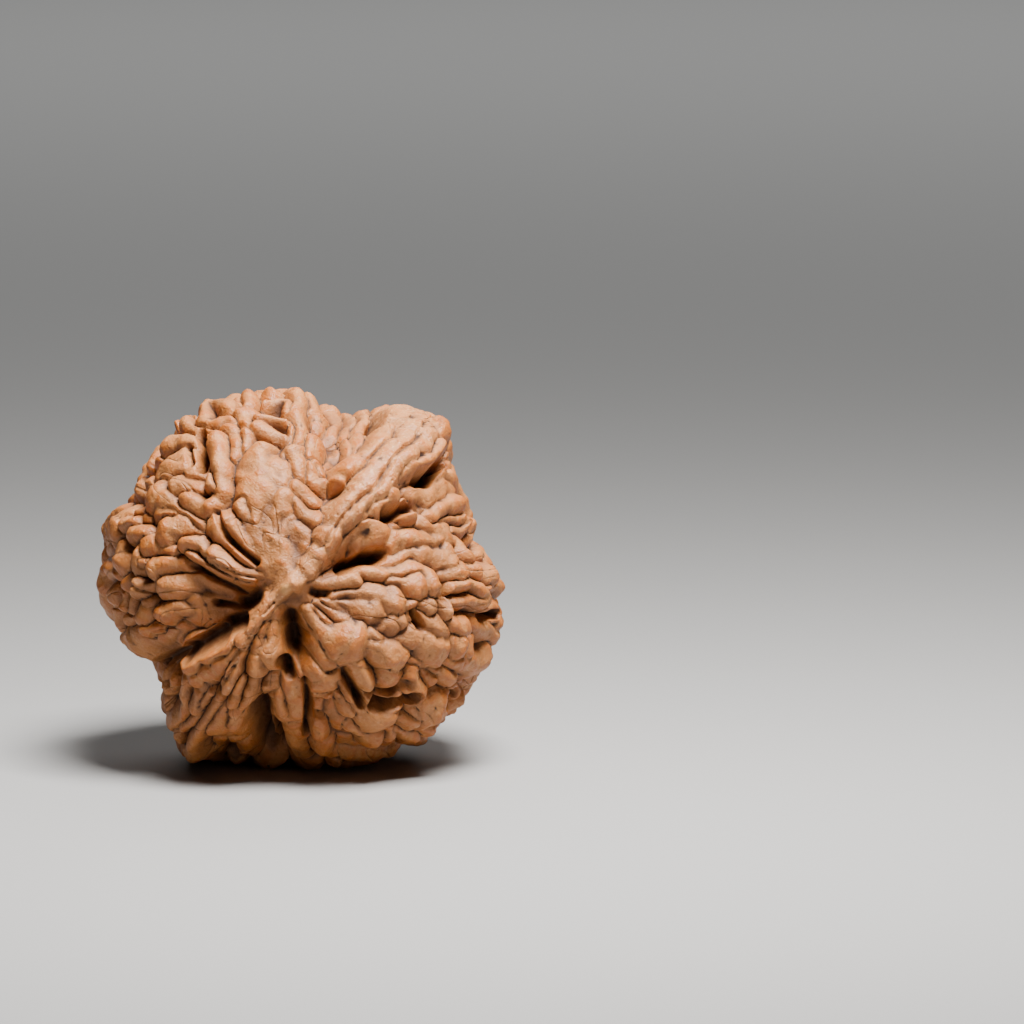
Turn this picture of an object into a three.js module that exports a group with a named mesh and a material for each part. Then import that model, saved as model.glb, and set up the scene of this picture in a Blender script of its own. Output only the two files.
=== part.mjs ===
// A walnut in its shell: a short, deeply furrowed nut lying on its side, its tip turned to the front.
// Lengths are in millimetres, angles in degrees. +Z is up, the tip looks along -Y, and the nut rests on
// z = 0, right under the middle of its box.
import * as THREE from "three";
import { mergeVertices } from "three/addons/utils/BufferGeometryUtils.js";

// Driving dimensions
const TIP_REACH = 17.2; // from the widest section forward to the body under the tip
const BACK_REACH = 15.4; // from the widest section back to the stem end
const FULLNESS = 2.25; // of the body's long section: 2 is an ellipse, more is boxier
const TILT = 8; // how far the tip is turned up
const REST_HEIGHT = 18.3; // of the nut's axis above the surface that it rests on

// The body's radius at its widest section, every 15 degrees from the right, anticlockwise seen from the tip.
const GIRTH = [
  19.5, 17.6, 18.2, 20.4, 19.0, 16.6, 18.2, 18.8, 18.7, 18.0, 17.4, 18.2,
  17.8, 16.7, 15.0, 16.4, 18.4, 17.3, 16.9, 17.6, 18.6, 19.3, 19.2, 19.5,
];

// The seam's two halves over the back: where each runs round the axis, and how it narrows to the stem end.
const BACK_SEAM = [
  { turn: 51, from: 64, to: 170, rises: [3.3, 1.9], widths: [1.9, 0.9] },
  { turn: 238, from: 84, to: 170, rises: [2.5, 1.9], widths: [1.15, 0.8] },
];
const SEAM_SWAY = 4; // degrees to either side
const STEM_SCAR = { depth: 1.6, width: 1.1, length: 3.2 };
const SCAR_RIM = { reach: 3.3, rise: 2.0, width: 0.75, knobs: 8, halfLength: 12 };

// A ridge's section: how full it is, and its foot as a share of its half-width.
const ROUND = { power: 1.8, skirt: 2.0 }; // the ridges of the face
const FOLD = { power: 1.8, skirt: 1.7 }; // the folds between them
const FLAT = { power: 3.6, skirt: 1.35 }; // the seam's flatter top
const SHOULDER = 0.8; // past this share of the foot the flank is straight
const END_RISE = 0.4; // how much a ridge of the face lifts towards its end
const END_WIDTH = 0.25; // and how much it widens there, as a share of its half-width
const KNOBS = { height: 0.09, width: 0.1, pitch: 1.7 }; // how a ridge swells and narrows along its length

// How every line wavers, in radians a millimetre.
const WAVER = [
  { size: 0.24, pitch: 0.85 },
  { size: 0.05, pitch: 2.3 },
];

// How ridges run into each other, and the thin fold line where two of them meet.
const FILL = 0.5; // height that the lowest ground between ridges is filled to
const BLEND = 0.36;
const CREASE = { depth: 0.34, spread: 0.38 };
const TIP_BLEND = 0.3; // how much softer the ridges join at the tip
const TIP_SMOOTH = 2.6; // from the tip to where that has faded
const LUMP = { height: 0.18, pitch: 2.1 }; // low swellings over everything

// A dent's foot, as a share of its half-width.
const DENT_SPREAD = 1.6;

// A hollow has reached its rim at a share of its half-width, and keeps a share of the ridges it cuts.
const HOLLOW = { spread: 1.7, rim: 2.6, blend: 0.3, kept: 0.35 };

// Folds that fill the sides and the back, and the smaller ones between them, all by the same rule.
const FOLDS = [
  { starts: 900, widths: [0.75, 1.15], rises: [1.7, 2.4], halfLengths: [2.0, 4.4], shortest: 2.6 },
  { starts: 2200, widths: [0.6, 0.85], rises: [1.5, 2.2], halfLengths: [1.0, 2.6], shortest: 1.2 },
  { starts: 5200, widths: [0.42, 0.5], rises: [0.9, 1.5], halfLengths: [0.5, 1.4], shortest: 0.4 },
];
const SPACING = 1.12; // between two folds, as a share of their half-widths together
const STEP = 0.6; // from one point of a fold to the next
const WANDER = 0.55; // how far, in radians, the folds' course strays from tip-to-stem
const OWN_TURN = 0.5; // and how far one fold strays from its neighbours
const OWN_BEND = 0.16; // radians that a fold may bend in a millimetre
const SEED = 20;
const FACE_RISE = 0.4; // share of their height that folds have among the ridges of the face
const FACE_END = [62, 84]; // degrees from the tip over which they come to their full height

// How fine the surface is worked out, and how many faces are left of it.
const BOX = 2.5; // side of the boxes that the ridges are sorted into
const FINE_DETAIL = 63;
const FACES = 11000;
const SHORT_FIRST = 1e-4; // how much a short edge goes before a long one
const LEAST_TURN = 0.2; // cosine of the most that a face may turn in one step
const LEAST_SHAPE = 0.06; // of a face's height against its longest side
const LEAST_VIEW = 0.05; // distance from the centre to a face's plane
const RESTING_BAND = 0.02; // what lies so near the resting plane is laid on it

// The shell's relief on the face round the tip, as seen looking straight at the tip.
// A ridge is [rise at its root, rise at its end, half-width at its root, half-width at its end, then points],
// each point being right and up of the tip. Rise is above the body, in millimetres.

// The seam ridge and its flanks: broad and flat-topped, with a groove along it.
const SEAM_RIDGES = [
  [2.6, 3.5, 0.5, 1.0, 0, 0, 2.2, 2.4, 4.4, 5.2, 6, 7.4],
  [3.4, 3.6, 1.0, 1.7, 5.4, 6.6, 7.6, 9.5, 10.4, 12.7, 12.6, 15.2, 14.3, 17.4],
  [2.6, 3.4, 0.5, 0.8, 0, 0, -1.5, -1.4, -3.2, -3.2, -4.6, -4.9],
  [2.6, 2.8, 0.6, 0.5, -3.2, -3.6, -4.6, -6.2, -5.4, -8.6, -6.2, -10.4],
];

const SEAM_GROOVE = [
  [0.55, 0.24, 3.4, 4.0, 6.2, 7.5, 10.4, 12.4, 13.0, 15.8, 15.2, 18.4],
  [0.5, 0.22, -1.2, -1.4, -2.8, -3.6, -4.4, -6.6, -6.2, -9.4, -7.6, -11.6],
];

const RIDGES = [
  // lumps along the seam's flanks, upper right
  [2.8, 3.0, 0.6, 0.8, 5.2, 10.9, 6.2, 12.2, 7.4, 13.2],
  [3.0, 3.1, 0.7, 0.8, 8.3, 14.0, 9.8, 15.4, 11.6, 16.9],
  [2.9, 2.9, 0.7, 0.9, 7.6, 7.6, 9.0, 8.8, 10.4, 9.9],
  [3.0, 3.3, 0.5, 0.8, 11.6, 11.6, 12.8, 12.4, 14.4, 13.6, 16.0, 14.5],
  [3.4, 3.6, 0.9, 0.8, 14.2, 16.4, 15.2, 16.9, 15.9, 16.6],
  [3.0, 3.4, 0.9, 0.9, 12.9, 18.2, 14.2, 18.4, 15.3, 17.6],
  // between the seam and the right: plates, fingers and knobs
  [2.0, 2.4, 0.6, 0.9, 5.2, 4.4, 6.8, 5.2, 8.5, 6.3, 9.4, 5.4],
  [2.3, 1.9, 0.9, 0.6, 8.0, 5.2, 10, 4.9, 12.5, 4.9, 14.6, 5.0, 16.2, 5.3],
  [1.3, 1.6, 0.4, 0.5, 8.2, 4.1, 10, 3.9, 11.4, 4.4],
  [1.5, 2.0, 0.7, 0.7, 10.6, 6.2, 12.4, 6.5, 14.4, 6.1, 16.2, 5.5],
  [2.4, 2.6, 0.5, 0.6, 10.8, 8.4, 11.8, 8.3, 12.5, 7.8],
  [1.4, 1.4, 0.4, 0.4, 12.8, 8.4, 14.0, 8.0, 15.0, 8.2],
  [1.6, 2.0, 0.8, 1.0, 12.4, 9.3, 14.2, 9.7, 16.4, 9.9],
  [1.7, 2.2, 0.6, 0.7, 14.4, 11.1, 16.0, 11.3, 16.9, 11.3],
  [2.0, 2.2, 0.5, 0.7, 15.0, 12.9, 16.0, 13.0],
  [2.0, 2.4, 0.6, 0.7, 14.8, 7.7, 16.2, 8.4, 17.4, 8.7],
  [1.6, 2.4, 0.4, 0.5, 15.4, 6.7, 16.8, 6.9, 17.9, 7.3],
  [1.8, 2.5, 0.5, 0.5, 16.8, 5.4, 17.8, 6.0, 18.2, 7.0],
  [2.2, 2.6, 0.5, 0.5, 18.4, 5.2, 18.9, 6.1, 18.8, 6.7],
  [1.6, 2.4, 0.7, 1.0, 10.0, 2.6, 12.0, 3.1, 14.0, 3.4, 16.2, 3.3],
  [2.2, 2.6, 0.5, 0.8, 16.3, 4.8, 17.6, 4.4, 18.3, 3.5],
  [2.2, 2.4, 0.6, 0.8, 15.9, 1.9, 16.8, 1.9, 17.6, 1.7],
  [2.4, 2.6, 0.7, 0.7, 18.7, 1.9, 19.3, 1.9],
  [2.2, 2.6, 0.7, 0.8, 20.1, 1.4, 21.1, 1.3],
  [1.6, 2.6, 0.5, 0.7, 6.4, 1.2, 8.6, 1.6, 10.6, 1.8, 12.8, 1.9, 14.6, 1.3, 15.2, 0.2],
  [2.0, 2.4, 0.6, 0.8, 10.8, 1.0, 12.2, 0.5, 13.5, 0.0],
  [1.9, 1.6, 0.4, 0.6, 0.9, 0.4, 2.4, 0.8, 4.2, 0.9, 6.6, 0.8],
  [2.4, 2.6, 0.4, 0.6, 15.6, -0.3, 17.4, 0.3, 19.4, 0.0, 20.2, -0.6],
  [2.2, 2.6, 0.4, 0.6, 16.2, -1.1, 18.0, -1.7, 19.5, -1.5, 20.3, -0.9],
  [2.2, 2.2, 0.5, 0.6, 20.6, 0.1, 21.7, -0.1],
  [2.0, 2.0, 0.4, 0.5, 21.1, -0.9, 21.8, -0.7],
  // lower right: the ribs from the tip and what they end in
  [1.5, 2.2, 0.4, 0.9, 3.7, -0.3, 6.0, -0.8, 8.6, -1.0, 10.7, -1.1],
  [1.4, 2.0, 0.4, 0.9, 4.4, -1.2, 6.4, -1.9, 8.4, -2.3],
  [2.0, 2.2, 1.0, 1.0, 9.3, -3.4, 10.4, -3.4],
  [1.9, 2.2, 0.4, 0.45, 11.0, -1.7, 12.9, -1.6],
  [1.7, 2.3, 0.35, 0.4, 3.0, -1.2, 4.6, -2.2, 5.8, -3.4, 7.6, -4.2, 9.4, -5.1],
  [1.7, 2.3, 0.35, 0.4, 2.7, -1.8, 4.3, -3.1, 5.6, -4.1, 7.2, -4.5, 9.0, -5.3],
  [1.6, 1.5, 0.3, 0.35, 3.6, -0.8, 5.6, -2.1, 7.4, -3.5, 9.2, -4.7, 10.8, -5.8, 12.4, -6.7, 14.2, -7.1],
  [1.9, 3.0, 0.4, 1.0, 2.2, -2.1, 3.6, -3.8, 5.2, -5.0, 6.8, -5.9],
  [3.0, 3.0, 1.1, 0.8, 6.8, -6.1, 8.8, -6.1, 10.6, -6.7, 11.6, -7.9, 11.3, -8.8],
  [2.7, 2.7, 0.8, 0.7, 6.9, -7.2, 7.4, -8.6, 8.6, -9.5],
  [1.4, 1.6, 0.3, 0.35, 1.6, -2.7, 2.8, -4.2, 4.2, -5.8, 5.2, -7.0, 5.6, -8.6],
  [1.9, 2.4, 0.6, 0.9, 11.9, -2.9, 13.8, -3.4, 15.6, -4.4],
  [2.3, 2.6, 0.7, 0.9, 16.3, -4.9, 17.6, -6.1],
  [2.1, 2.6, 0.8, 1.1, 10.8, -4.9, 13.0, -5.4, 15.0, -6.1],
  [2.2, 2.4, 0.5, 0.6, 13.7, -1.6, 14.7, -2.0],
  [2.3, 2.4, 0.5, 0.6, 15.7, -1.4, 16.5, -2.1],
  [2.2, 2.6, 0.5, 0.7, 16.1, -2.7, 17.0, -3.7, 18.4, -4.6],
  [2.3, 2.6, 0.7, 0.9, 20.4, -2.0, 21.2, -2.8, 21.8, -3.9],
  [2.0, 2.4, 0.7, 0.8, 19.2, -3.6, 20.3, -4.4, 21.1, -5.3],
  [1.8, 2.2, 0.4, 0.5, 19.1, -4.4, 18.8, -5.6, 18.5, -6.7],
  [2.3, 2.6, 0.6, 0.9, 18.1, -7.2, 19.0, -7.7, 20.0, -7.8],
  [2.0, 2.2, 0.5, 0.5, 20.3, -6.8, 20.9, -6.8],
  [2.2, 2.4, 0.5, 0.6, 15.4, -7.1, 16.4, -7.4, 17.4, -8.1],
  [2.0, 2.6, 0.4, 0.6, 12.2, -7.5, 14.0, -8.0, 15.6, -8.7, 16.7, -9.8],
  [2.3, 2.7, 0.6, 0.7, 12.9, -8.8, 12.9, -10.0, 13.2, -11.0],
  [2.3, 2.4, 0.5, 0.5, 14.1, -8.7, 14.8, -9.4],
  [2.0, 2.2, 0.4, 0.5, 15.9, -10.9, 16.9, -10.2, 17.4, -10.9],
  [2.0, 2.2, 0.5, 0.5, 16.9, -12.3, 17.6, -11.9],
  [1.6, 1.8, 0.6, 0.6, 16.7, -13.4, 17.2, -13.2],
  [2.8, 3.0, 1.1, 1.2, 14.2, -12.2, 15.1, -12.9],
  [2.1, 2.3, 0.35, 0.4, 11.4, -10.7, 12.4, -12.0, 13.1, -12.9],
  [2.2, 2.4, 0.6, 0.7, 9.9, -11.7, 10.8, -12.1],
  [2.4, 2.7, 0.9, 1.0, 7.9, -11.8, 8.8, -12.8, 9.7, -13.7],
  [2.3, 2.5, 0.5, 0.6, 10.9, -13.3, 12.7, -13.9],
  [2.3, 2.4, 0.5, 0.6, 13.5, -14.1, 14.1, -14.9],
  [2.2, 2.3, 0.5, 0.6, 10.4, -14.5, 10.6, -15.5],
  [2.2, 2.3, 0.5, 0.6, 11.2, -14.8, 12.6, -15.7],
  [2.0, 2.3, 0.5, 0.65, 6.7, -14.2, 8.0, -14.9, 9.0, -15.8],
  [2.2, 2.3, 0.4, 0.5, 5.4, -9.7, 6.3, -10.3, 7.2, -11.2],
  [2.0, 2.2, 0.9, 1.0, 3.5, -8.4, 4.1, -9.2],
  [1.6, 1.9, 0.4, 0.45, 3.2, -10.8, 4.2, -11.0],
  [1.7, 1.8, 0.4, 0.5, 4.9, -10.8, 6.0, -11.5, 6.5, -12.7],
  [1.0, 1.0, 0.8, 0.8, 5.2, -12.6, 5.6, -13.1],
  [1.7, 2.1, 0.5, 0.7, 2.8, -4.9, 3.8, -6.0, 4.7, -7.4],
  [1.8, 1.8, 0.5, 0.5, 2.8, -14.0, 3.6, -14.4, 3.4, -15.2],
  [1.8, 1.8, 0.5, 0.5, 4.2, -16.0, 3.7, -16.9],
  // below the tip: the seam's lower flank, the thin blade and the columns
  [1.9, 2.4, 0.5, 0.9, -0.9, -1.6, -1.1, -3.6, -1.2, -5.6, -1.3, -6.9],
  [2.2, 2.7, 0.5, 0.6, -1.8, -2.6, -2.4, -4.8, -2.8, -7.0, -2.9, -8.6],
  [2.2, 2.2, 0.5, 0.4, -3.0, -8.4, -3.5, -10.4, -4.3, -12.4],
  [1.0, 1.2, 0.28, 0.3, -0.1, -5.8, 0.9, -7.2, 1.9, -8.8],
  [0.9, 1.1, 0.5, 0.5, -1.3, -8.7, -1.7, -10.0],
  [0.9, 1.4, 0.4, 0.4, -1.3, -10.0, -0.7, -11.2, -0.4, -12.5],
  [0.9, 1.5, 0.7, 0.6, 0.6, -9.2, 0.8, -11.0, 1.1, -12.6],
  [0.8, 1.0, 0.5, 0.5, 0.7, -14.2, 0.8, -15.6, 1.1, -17.2],
  [2.0, 2.0, 0.6, 0.6, -5.2, -13.0, -4.9, -14.2],
  [2.0, 2.0, 0.5, 0.5, -3.9, -13.4, -3.7, -14.1],
  // lower left: fingers that fan out of the seam
  [2.9, 3.6, 0.6, 0.9, -2.4, -1.6, -4.5, -3.8, -7.0, -5.8, -9.4, -7.1, -10.4, -7.7],
  [2.6, 3.0, 0.6, 0.9, -4.4, -5.6, -6.0, -6.7, -7.6, -8.0, -9.4, -9.0],
  [2.8, 2.8, 0.7, 0.6, -9.4, -9.0, -10.7, -9.7, -11.0, -11.0, -11.1, -12.6, -12.2, -14.2],
  [2.6, 2.8, 0.5, 0.6, -7.6, -9.0, -9.3, -10.6, -9.9, -12.2],
  [2.6, 2.8, 0.5, 0.6, -7.8, -10.4, -9.2, -12.0, -10.1, -13.7, -11.4, -14.4, -11.6, -15.6],
  [2.6, 2.8, 0.5, 0.6, -6.4, -10.4, -7.7, -12.4, -9.0, -14.3, -10.0, -16.2, -10.4, -17.8],
  [1.8, 2.0, 0.6, 0.8, -6.4, -11.4, -6.6, -12.6, -7.4, -14.4],
  [2.4, 2.4, 0.4, 0.4, -4.4, -9.4, -5.0, -10.4, -5.4, -12.0],
  [1.9, 2.0, 0.6, 0.7, -13.1, -8.7, -13.1, -9.7],
  [1.8, 1.8, 0.4, 0.4, -12.4, -10.0, -12.0, -9.4],
  [1.9, 2.1, 0.5, 0.6, -12.9, -11.1, -12.6, -12.1],
  [2.0, 2.0, 0.5, 0.5, -12.7, -13.6, -12.2, -14.8],
  [2.2, 2.2, 0.5, 0.5, -11.9, -16.0, -11.2, -17.2],
  [1.2, 1.2, 0.5, 0.6, -9.2, -5.5, -7.8, -5.5],
  // left: ribs across the deep hollow, lobes and the knobs of the outline
  [1.8, 2.4, 0.4, 0.55, -2.6, 1.4, -4.6, 2.1, -6.2, 2.9, -7.3, 3.6],
  [1.7, 2.5, 0.3, 0.5, -3.6, 1.1, -6.0, 2.0, -7.6, 3.2, -8.7, 4.7, -10.6, 4.5],
  [1.6, 1.9, 0.3, 0.35, -4.0, 0.7, -6.4, 1.5, -8.2, 2.4, -9.7, 3.5],
  [2.2, 2.6, 0.7, 0.9, -9.3, 5.7, -11.0, 6.3, -12.6, 5.9],
  [2.2, 2.8, 0.6, 1.0, -8.9, 6.5, -10.6, 7.6, -12.2, 8.5, -13.6, 9.4],
  [2.4, 2.5, 0.6, 0.8, -11.8, 7.5, -13.4, 7.8],
  [0.2, 1.8, 0.5, 0.8, -6.6, -0.6, -8.6, -0.7, -10.6, -0.4, -12.4, 0.2],
  [2.2, 2.4, 0.4, 0.5, -13.5, 0.5, -14.8, 0.3, -15.7, 0.6],
  [2.4, 2.5, 0.5, 0.5, -15.2, -0.6, -15.9, -0.2],
  [0.2, 1.6, 0.6, 0.9, -5.8, -2.4, -7.8, -2.1, -9.4, -2.4],
  [1.7, 2.2, 0.5, 0.6, -10.4, -2.6, -11.8, -2.3, -12.9, -2.9],
  [0.2, 2.2, 0.7, 1.2, -7.0, -4.2, -9.6, -4.5, -12.4, -4.7, -14.6, -5.6, -15.6, -6.2],
  [2.4, 2.4, 0.5, 0.5, -13.8, -4.4, -14.6, -4.7],
  [2.2, 2.4, 0.6, 0.7, -11.8, 3.7, -13.2, 4.3, -14.6, 4.3],
  [2.3, 2.3, 0.8, 0.8, -15.3, 3.6, -15.6, 2.6],
  [1.7, 2.3, 0.6, 0.65, -10.6, 2.5, -12.0, 2.4, -13.6, 2.0],
  [2.2, 2.2, 0.35, 0.35, -13.9, 2.9, -15.0, 2.6],
  [2.6, 2.8, 1.1, 1.1, -17.5, 7.3, -18.1, 6.7],
  [2.7, 2.7, 0.5, 0.5, -15.9, 6.9, -17.1, 6.6],
  [2.4, 2.4, 0.6, 0.6, -14.8, 5.7, -16.0, 5.6],
  [2.2, 2.4, 0.9, 1.0, -17.6, 4.1, -17.7, 3.0],
  [2.3, 2.3, 0.5, 0.6, -18.1, 1.5, -19.1, 1.8],
  [2.0, 2.0, 0.6, 0.7, -18.3, -0.2, -18.3, -1.3],
  [2.2, 2.2, 0.7, 0.7, -18.0, -2.6, -17.8, -3.7],
  [2.0, 2.0, 0.45, 0.45, -16.9, -5.0, -17.4, -5.4],
  [2.0, 2.0, 0.45, 0.5, -16.5, 1.2, -17.0, 0.5],
  [2.0, 2.0, 0.4, 0.45, -17.2, -0.5, -17.1, -2.0],
  [2.0, 2.0, 0.4, 0.45, -16.2, -0.9, -16.1, -2.5],
  [2.0, 2.2, 0.7, 0.7, -14.6, -1.6, -14.9, -3.3],
  [2.1, 2.1, 0.45, 0.5, -15.9, -3.2, -16.6, -3.5],
  [2.2, 2.2, 0.6, 0.7, -15.2, 9.0, -15.4, 8.0],
  [2.1, 2.1, 0.5, 0.6, -15.4, 11.5, -15.7, 10.7],
  [2.2, 2.2, 0.5, 0.6, -14.1, 10.1, -14.6, 10.8],
  [2.1, 2.1, 0.4, 0.5, -13.7, 7.0, -14.5, 7.2],
  // upper left: the folded lobes
  [1.7, 2.4, 0.4, 0.95, -3.4, 2.7, -4.6, 3.8, -5.8, 5.2, -6.7, 6.7],
  [1.7, 2.2, 0.35, 0.5, -2.6, 2.9, -3.6, 4.3, -4.5, 5.6, -5.2, 6.5],
  [2.6, 2.7, 0.6, 0.6, -7.2, 9.6, -6.9, 11.2, -6.8, 12.8, -7.2, 14.4, -7.7, 15.3],
  [2.6, 2.6, 0.7, 0.7, -7.3, 9.6, -7.9, 8.6, -9.1, 8.3, -10.3, 9.0],
  [2.4, 2.4, 0.4, 0.4, -7.9, 12.0, -7.9, 10.7],
  [2.3, 2.4, 0.9, 0.9, -9.8, 10.4, -11.4, 10.6],
  [2.2, 2.3, 1.3, 1.4, -10.0, 12.2, -11.2, 13.0, -12.0, 12.6],
  [2.3, 2.5, 0.6, 0.7, -8.7, 15.2, -10.6, 15.4, -12.4, 15.0],
  [2.2, 2.2, 0.5, 0.6, -12.4, 14.4, -13.2, 13.6],
  [2.0, 2.2, 0.4, 0.45, -12.9, 15.4, -13.9, 13.9, -14.4, 13.0],
  [2.3, 2.4, 0.5, 0.5, -7.9, 15.9, -9.6, 16.4, -11.2, 16.9],
  [2.3, 2.3, 0.4, 0.4, -10.2, 17.3, -11.6, 17.5, -12.1, 16.6],
  [2.6, 2.6, 0.6, 0.6, -6.1, 17.4, -8.4, 17.1, -9.3, 18.0, -8.7, 19.0, -7.2, 19.2, -6.2, 18.4],
  [2.2, 2.2, 0.7, 0.8, -4.4, 16.9, -4.5, 18.1],
  [2.2, 2.2, 0.5, 0.6, -4.6, 19.2, -4.4, 20.0],
  [2.0, 2.0, 0.5, 0.5, -5.6, 19.6, -5.9, 19.0],
  [2.1, 2.1, 0.5, 0.6, -5.3, 13.8, -5.8, 15.2, -6.3, 16.2],
  [2.1, 2.1, 0.55, 0.6, -4.5, 14.5, -4.6, 15.7],
  // the smooth collar round the tip and the nub on it
  [1.4, 1.4, 1.1, 1.1, -0.8, -0.5, 0.8, 0.8],
  [3.1, 3.1, 0.35, 0.35, -0.3, -0.2, 0.4, 0.3],
  // straight above the tip: the plate, the long rib and the folds at the top
  [2.0, 1.9, 0.7, 1.9, 0.0, 0.6, -0.2, 2.2, -0.6, 4.4],
  [1.9, 1.9, 0.9, 1.0, 0.6, 3.0, 1.6, 5.4],
  [1.9, 2.2, 0.8, 1.3, -1.8, 3.4, -2.8, 6.4, -3.2, 9.0, -3.0, 11.4],
  [2.2, 2.2, 1.2, 0.8, -3.1, 10.6, -2.9, 12.4, -2.7, 14.2],
  [1.7, 1.9, 0.7, 1.1, -1.2, 4.6, -1.7, 7.0, -1.8, 9.6, -1.5, 12.0],
  [1.8, 2.2, 0.4, 0.5, -2.3, 4.4, -3.1, 5.9, -4.0, 7.2, -4.8, 8.8],
  [1.8, 2.2, 0.8, 0.75, -0.8, 5.6, -0.8, 7.6, -0.6, 9.2],
  [1.9, 2.0, 0.5, 0.5, 0.7, 9.0, 1.8, 7.8, 3.2, 7.1],
  [1.8, 2.0, 0.5, 0.5, 2.5, 9.0, 1.6, 9.7, 0.7, 10.5],
  [2.0, 2.2, 0.6, 0.7, 1.2, 11.8, 1.3, 13.2, 0.9, 14.4],
  [1.7, 1.9, 0.5, 0.5, 3.9, 10.4, 2.6, 11.0, 2.5, 12.4],
  [1.7, 1.9, 0.4, 0.4, 3.5, 11.6, 3.0, 12.6],
  [2.2, 2.2, 0.6, 0.65, 2.6, 13.9, 2.6, 15.3],
  [1.6, 1.8, 0.3, 0.3, -0.6, 11.6, -0.2, 13.4, 0.0, 15.6, 0.3, 17.6],
  [2.2, 2.3, 0.5, 0.6, 1.0, 15.4, 1.3, 16.6, 1.0, 17.7],
  [2.2, 2.2, 0.6, 0.7, -0.6, 15.9, -1.9, 16.3, -3.2, 16.7],
  [2.4, 2.4, 0.35, 0.35, -0.3, 17.3, -1.8, 17.7, -3.1, 17.8],
  [2.4, 2.4, 0.35, 0.35, 0.0, 18.2, -0.3, 19.1, -1.4, 19.4, -2.6, 19.3],
  [2.4, 2.6, 0.6, 0.7, -0.9, 20.1, -1.9, 20.3],
  [2.4, 2.6, 0.7, 0.7, 0.7, 18.6, 0.5, 20.4],
  [2.2, 2.4, 0.7, 0.7, 2.3, 18.4, 1.9, 19.6],
  // the columns behind the seam, running up to the notched outline
  [1.5, 1.9, 0.6, 0.6, 3.1, 16.4, 3.0, 17.3],
  [0.6, 1.7, 0.5, 0.55, 4.2, 12.4, 4.3, 15.0, 4.4, 17.8],
  [0.6, 1.7, 0.5, 0.55, 5.7, 13.2, 5.8, 15.5, 5.9, 17.9],
  [0.8, 1.6, 0.5, 0.5, 6.9, 14.0, 7.1, 16.0, 7.2, 17.7],
  [0.9, 1.6, 0.4, 0.45, 8.8, 15.6, 8.7, 17.4],
  [1.8, 2.2, 0.5, 0.55, 10.0, 17.0, 9.7, 18.0],
  [2.2, 2.4, 0.5, 0.5, 10.4, 18.6, 11.6, 18.7],
];

// Hollows cut right through the ridges, dents only sink them: [depth, half-width, points].
const HOLLOWS = [
  [1.6, 0.55, 5.0, 1.9, 7.0, 2.5, 9.0, 3.4],
  [0.8, 0.5, 8.8, 6.9, 9.8, 7.1, 11.4, 7.2],
  [2.0, 0.55, 11.9, 9.9, 13.4, 10.9, 14.9, 12.2],
  [1.6, 0.55, 0.6, -2.8, 0.8, -4.0],
  [2.0, 0.8, 0.9, -4.4, 1.0, -5.6],
  [1.8, 0.55, 0.0, -7.0, 0.4, -8.2],
  [1.3, 0.8, -3.5, -0.7, -4.8, -1.1],
  [0.6, 0.4, -4.6, -0.3, -6.6, 0.7, -8.6, 1.8],
  [0.5, 0.4, -5.0, -1.5, -7.4, -1.4],
  [1.7, 0.7, -4.2, -2.7, -6.0, -3.6],
  [1.4, 0.7, -6.0, -4.0, -9.0, -5.6],
  [1.1, 0.45, -9.0, -5.5, -12.4, -7.2],
  [1.8, 0.5, -11.8, -8.6, -12.0, -10.4],
  [2.6, 0.9, -2.5, -11.4, -2.7, -14.0, -2.4, -16.4],
  [2.2, 0.6, -6.2, -15.4, -5.8, -17.4],
  [1.9, 0.6, -1.2, -13.6, -0.8, -16.4],
  [1.7, 0.4, 1.9, -8.6, 2.1, -11.0, 2.0, -14.4],
  [1.2, 0.4, 5.4, -7.4, 6.0, -8.8, 6.9, -10.3],
  [1.6, 0.5, 8.2, -10.4, 9.8, -10.5, 11.4, -10.0],
  [1.6, 0.5, 14.2, -10.4, 15.4, -9.7],
  [1.2, 0.4, 14.5, 0.4, 14.6, -0.8],
  [1.0, 0.4, 11.4, -2.4, 11.8, -3.6],
  [1.0, 0.4, 17.8, -2.6, 19.0, -2.6],
  [1.8, 0.5, 8.0, 16.6, 8.1, 14.8],
];

// Hollows over the sides and the back: depth, half-width, then each end's angle from the tip and its turn.
const BACK_HOLLOWS = [
  [1.8, 0.8, 98, 72, 112, 66],
  [1.5, 0.7, 120, 100, 132, 112],
  [1.7, 0.8, 104, 148, 118, 158],
  [1.3, 0.7, 138, 188, 150, 200],
  [1.8, 0.9, 98, 214, 112, 222],
  [1.5, 0.7, 124, 264, 137, 256],
  [1.7, 0.8, 98, 298, 110, 310],
  [1.5, 0.8, 128, 330, 140, 340],
  [1.7, 0.8, 102, 18, 116, 26],
  [1.2, 0.6, 148, 88, 158, 96],
];

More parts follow.
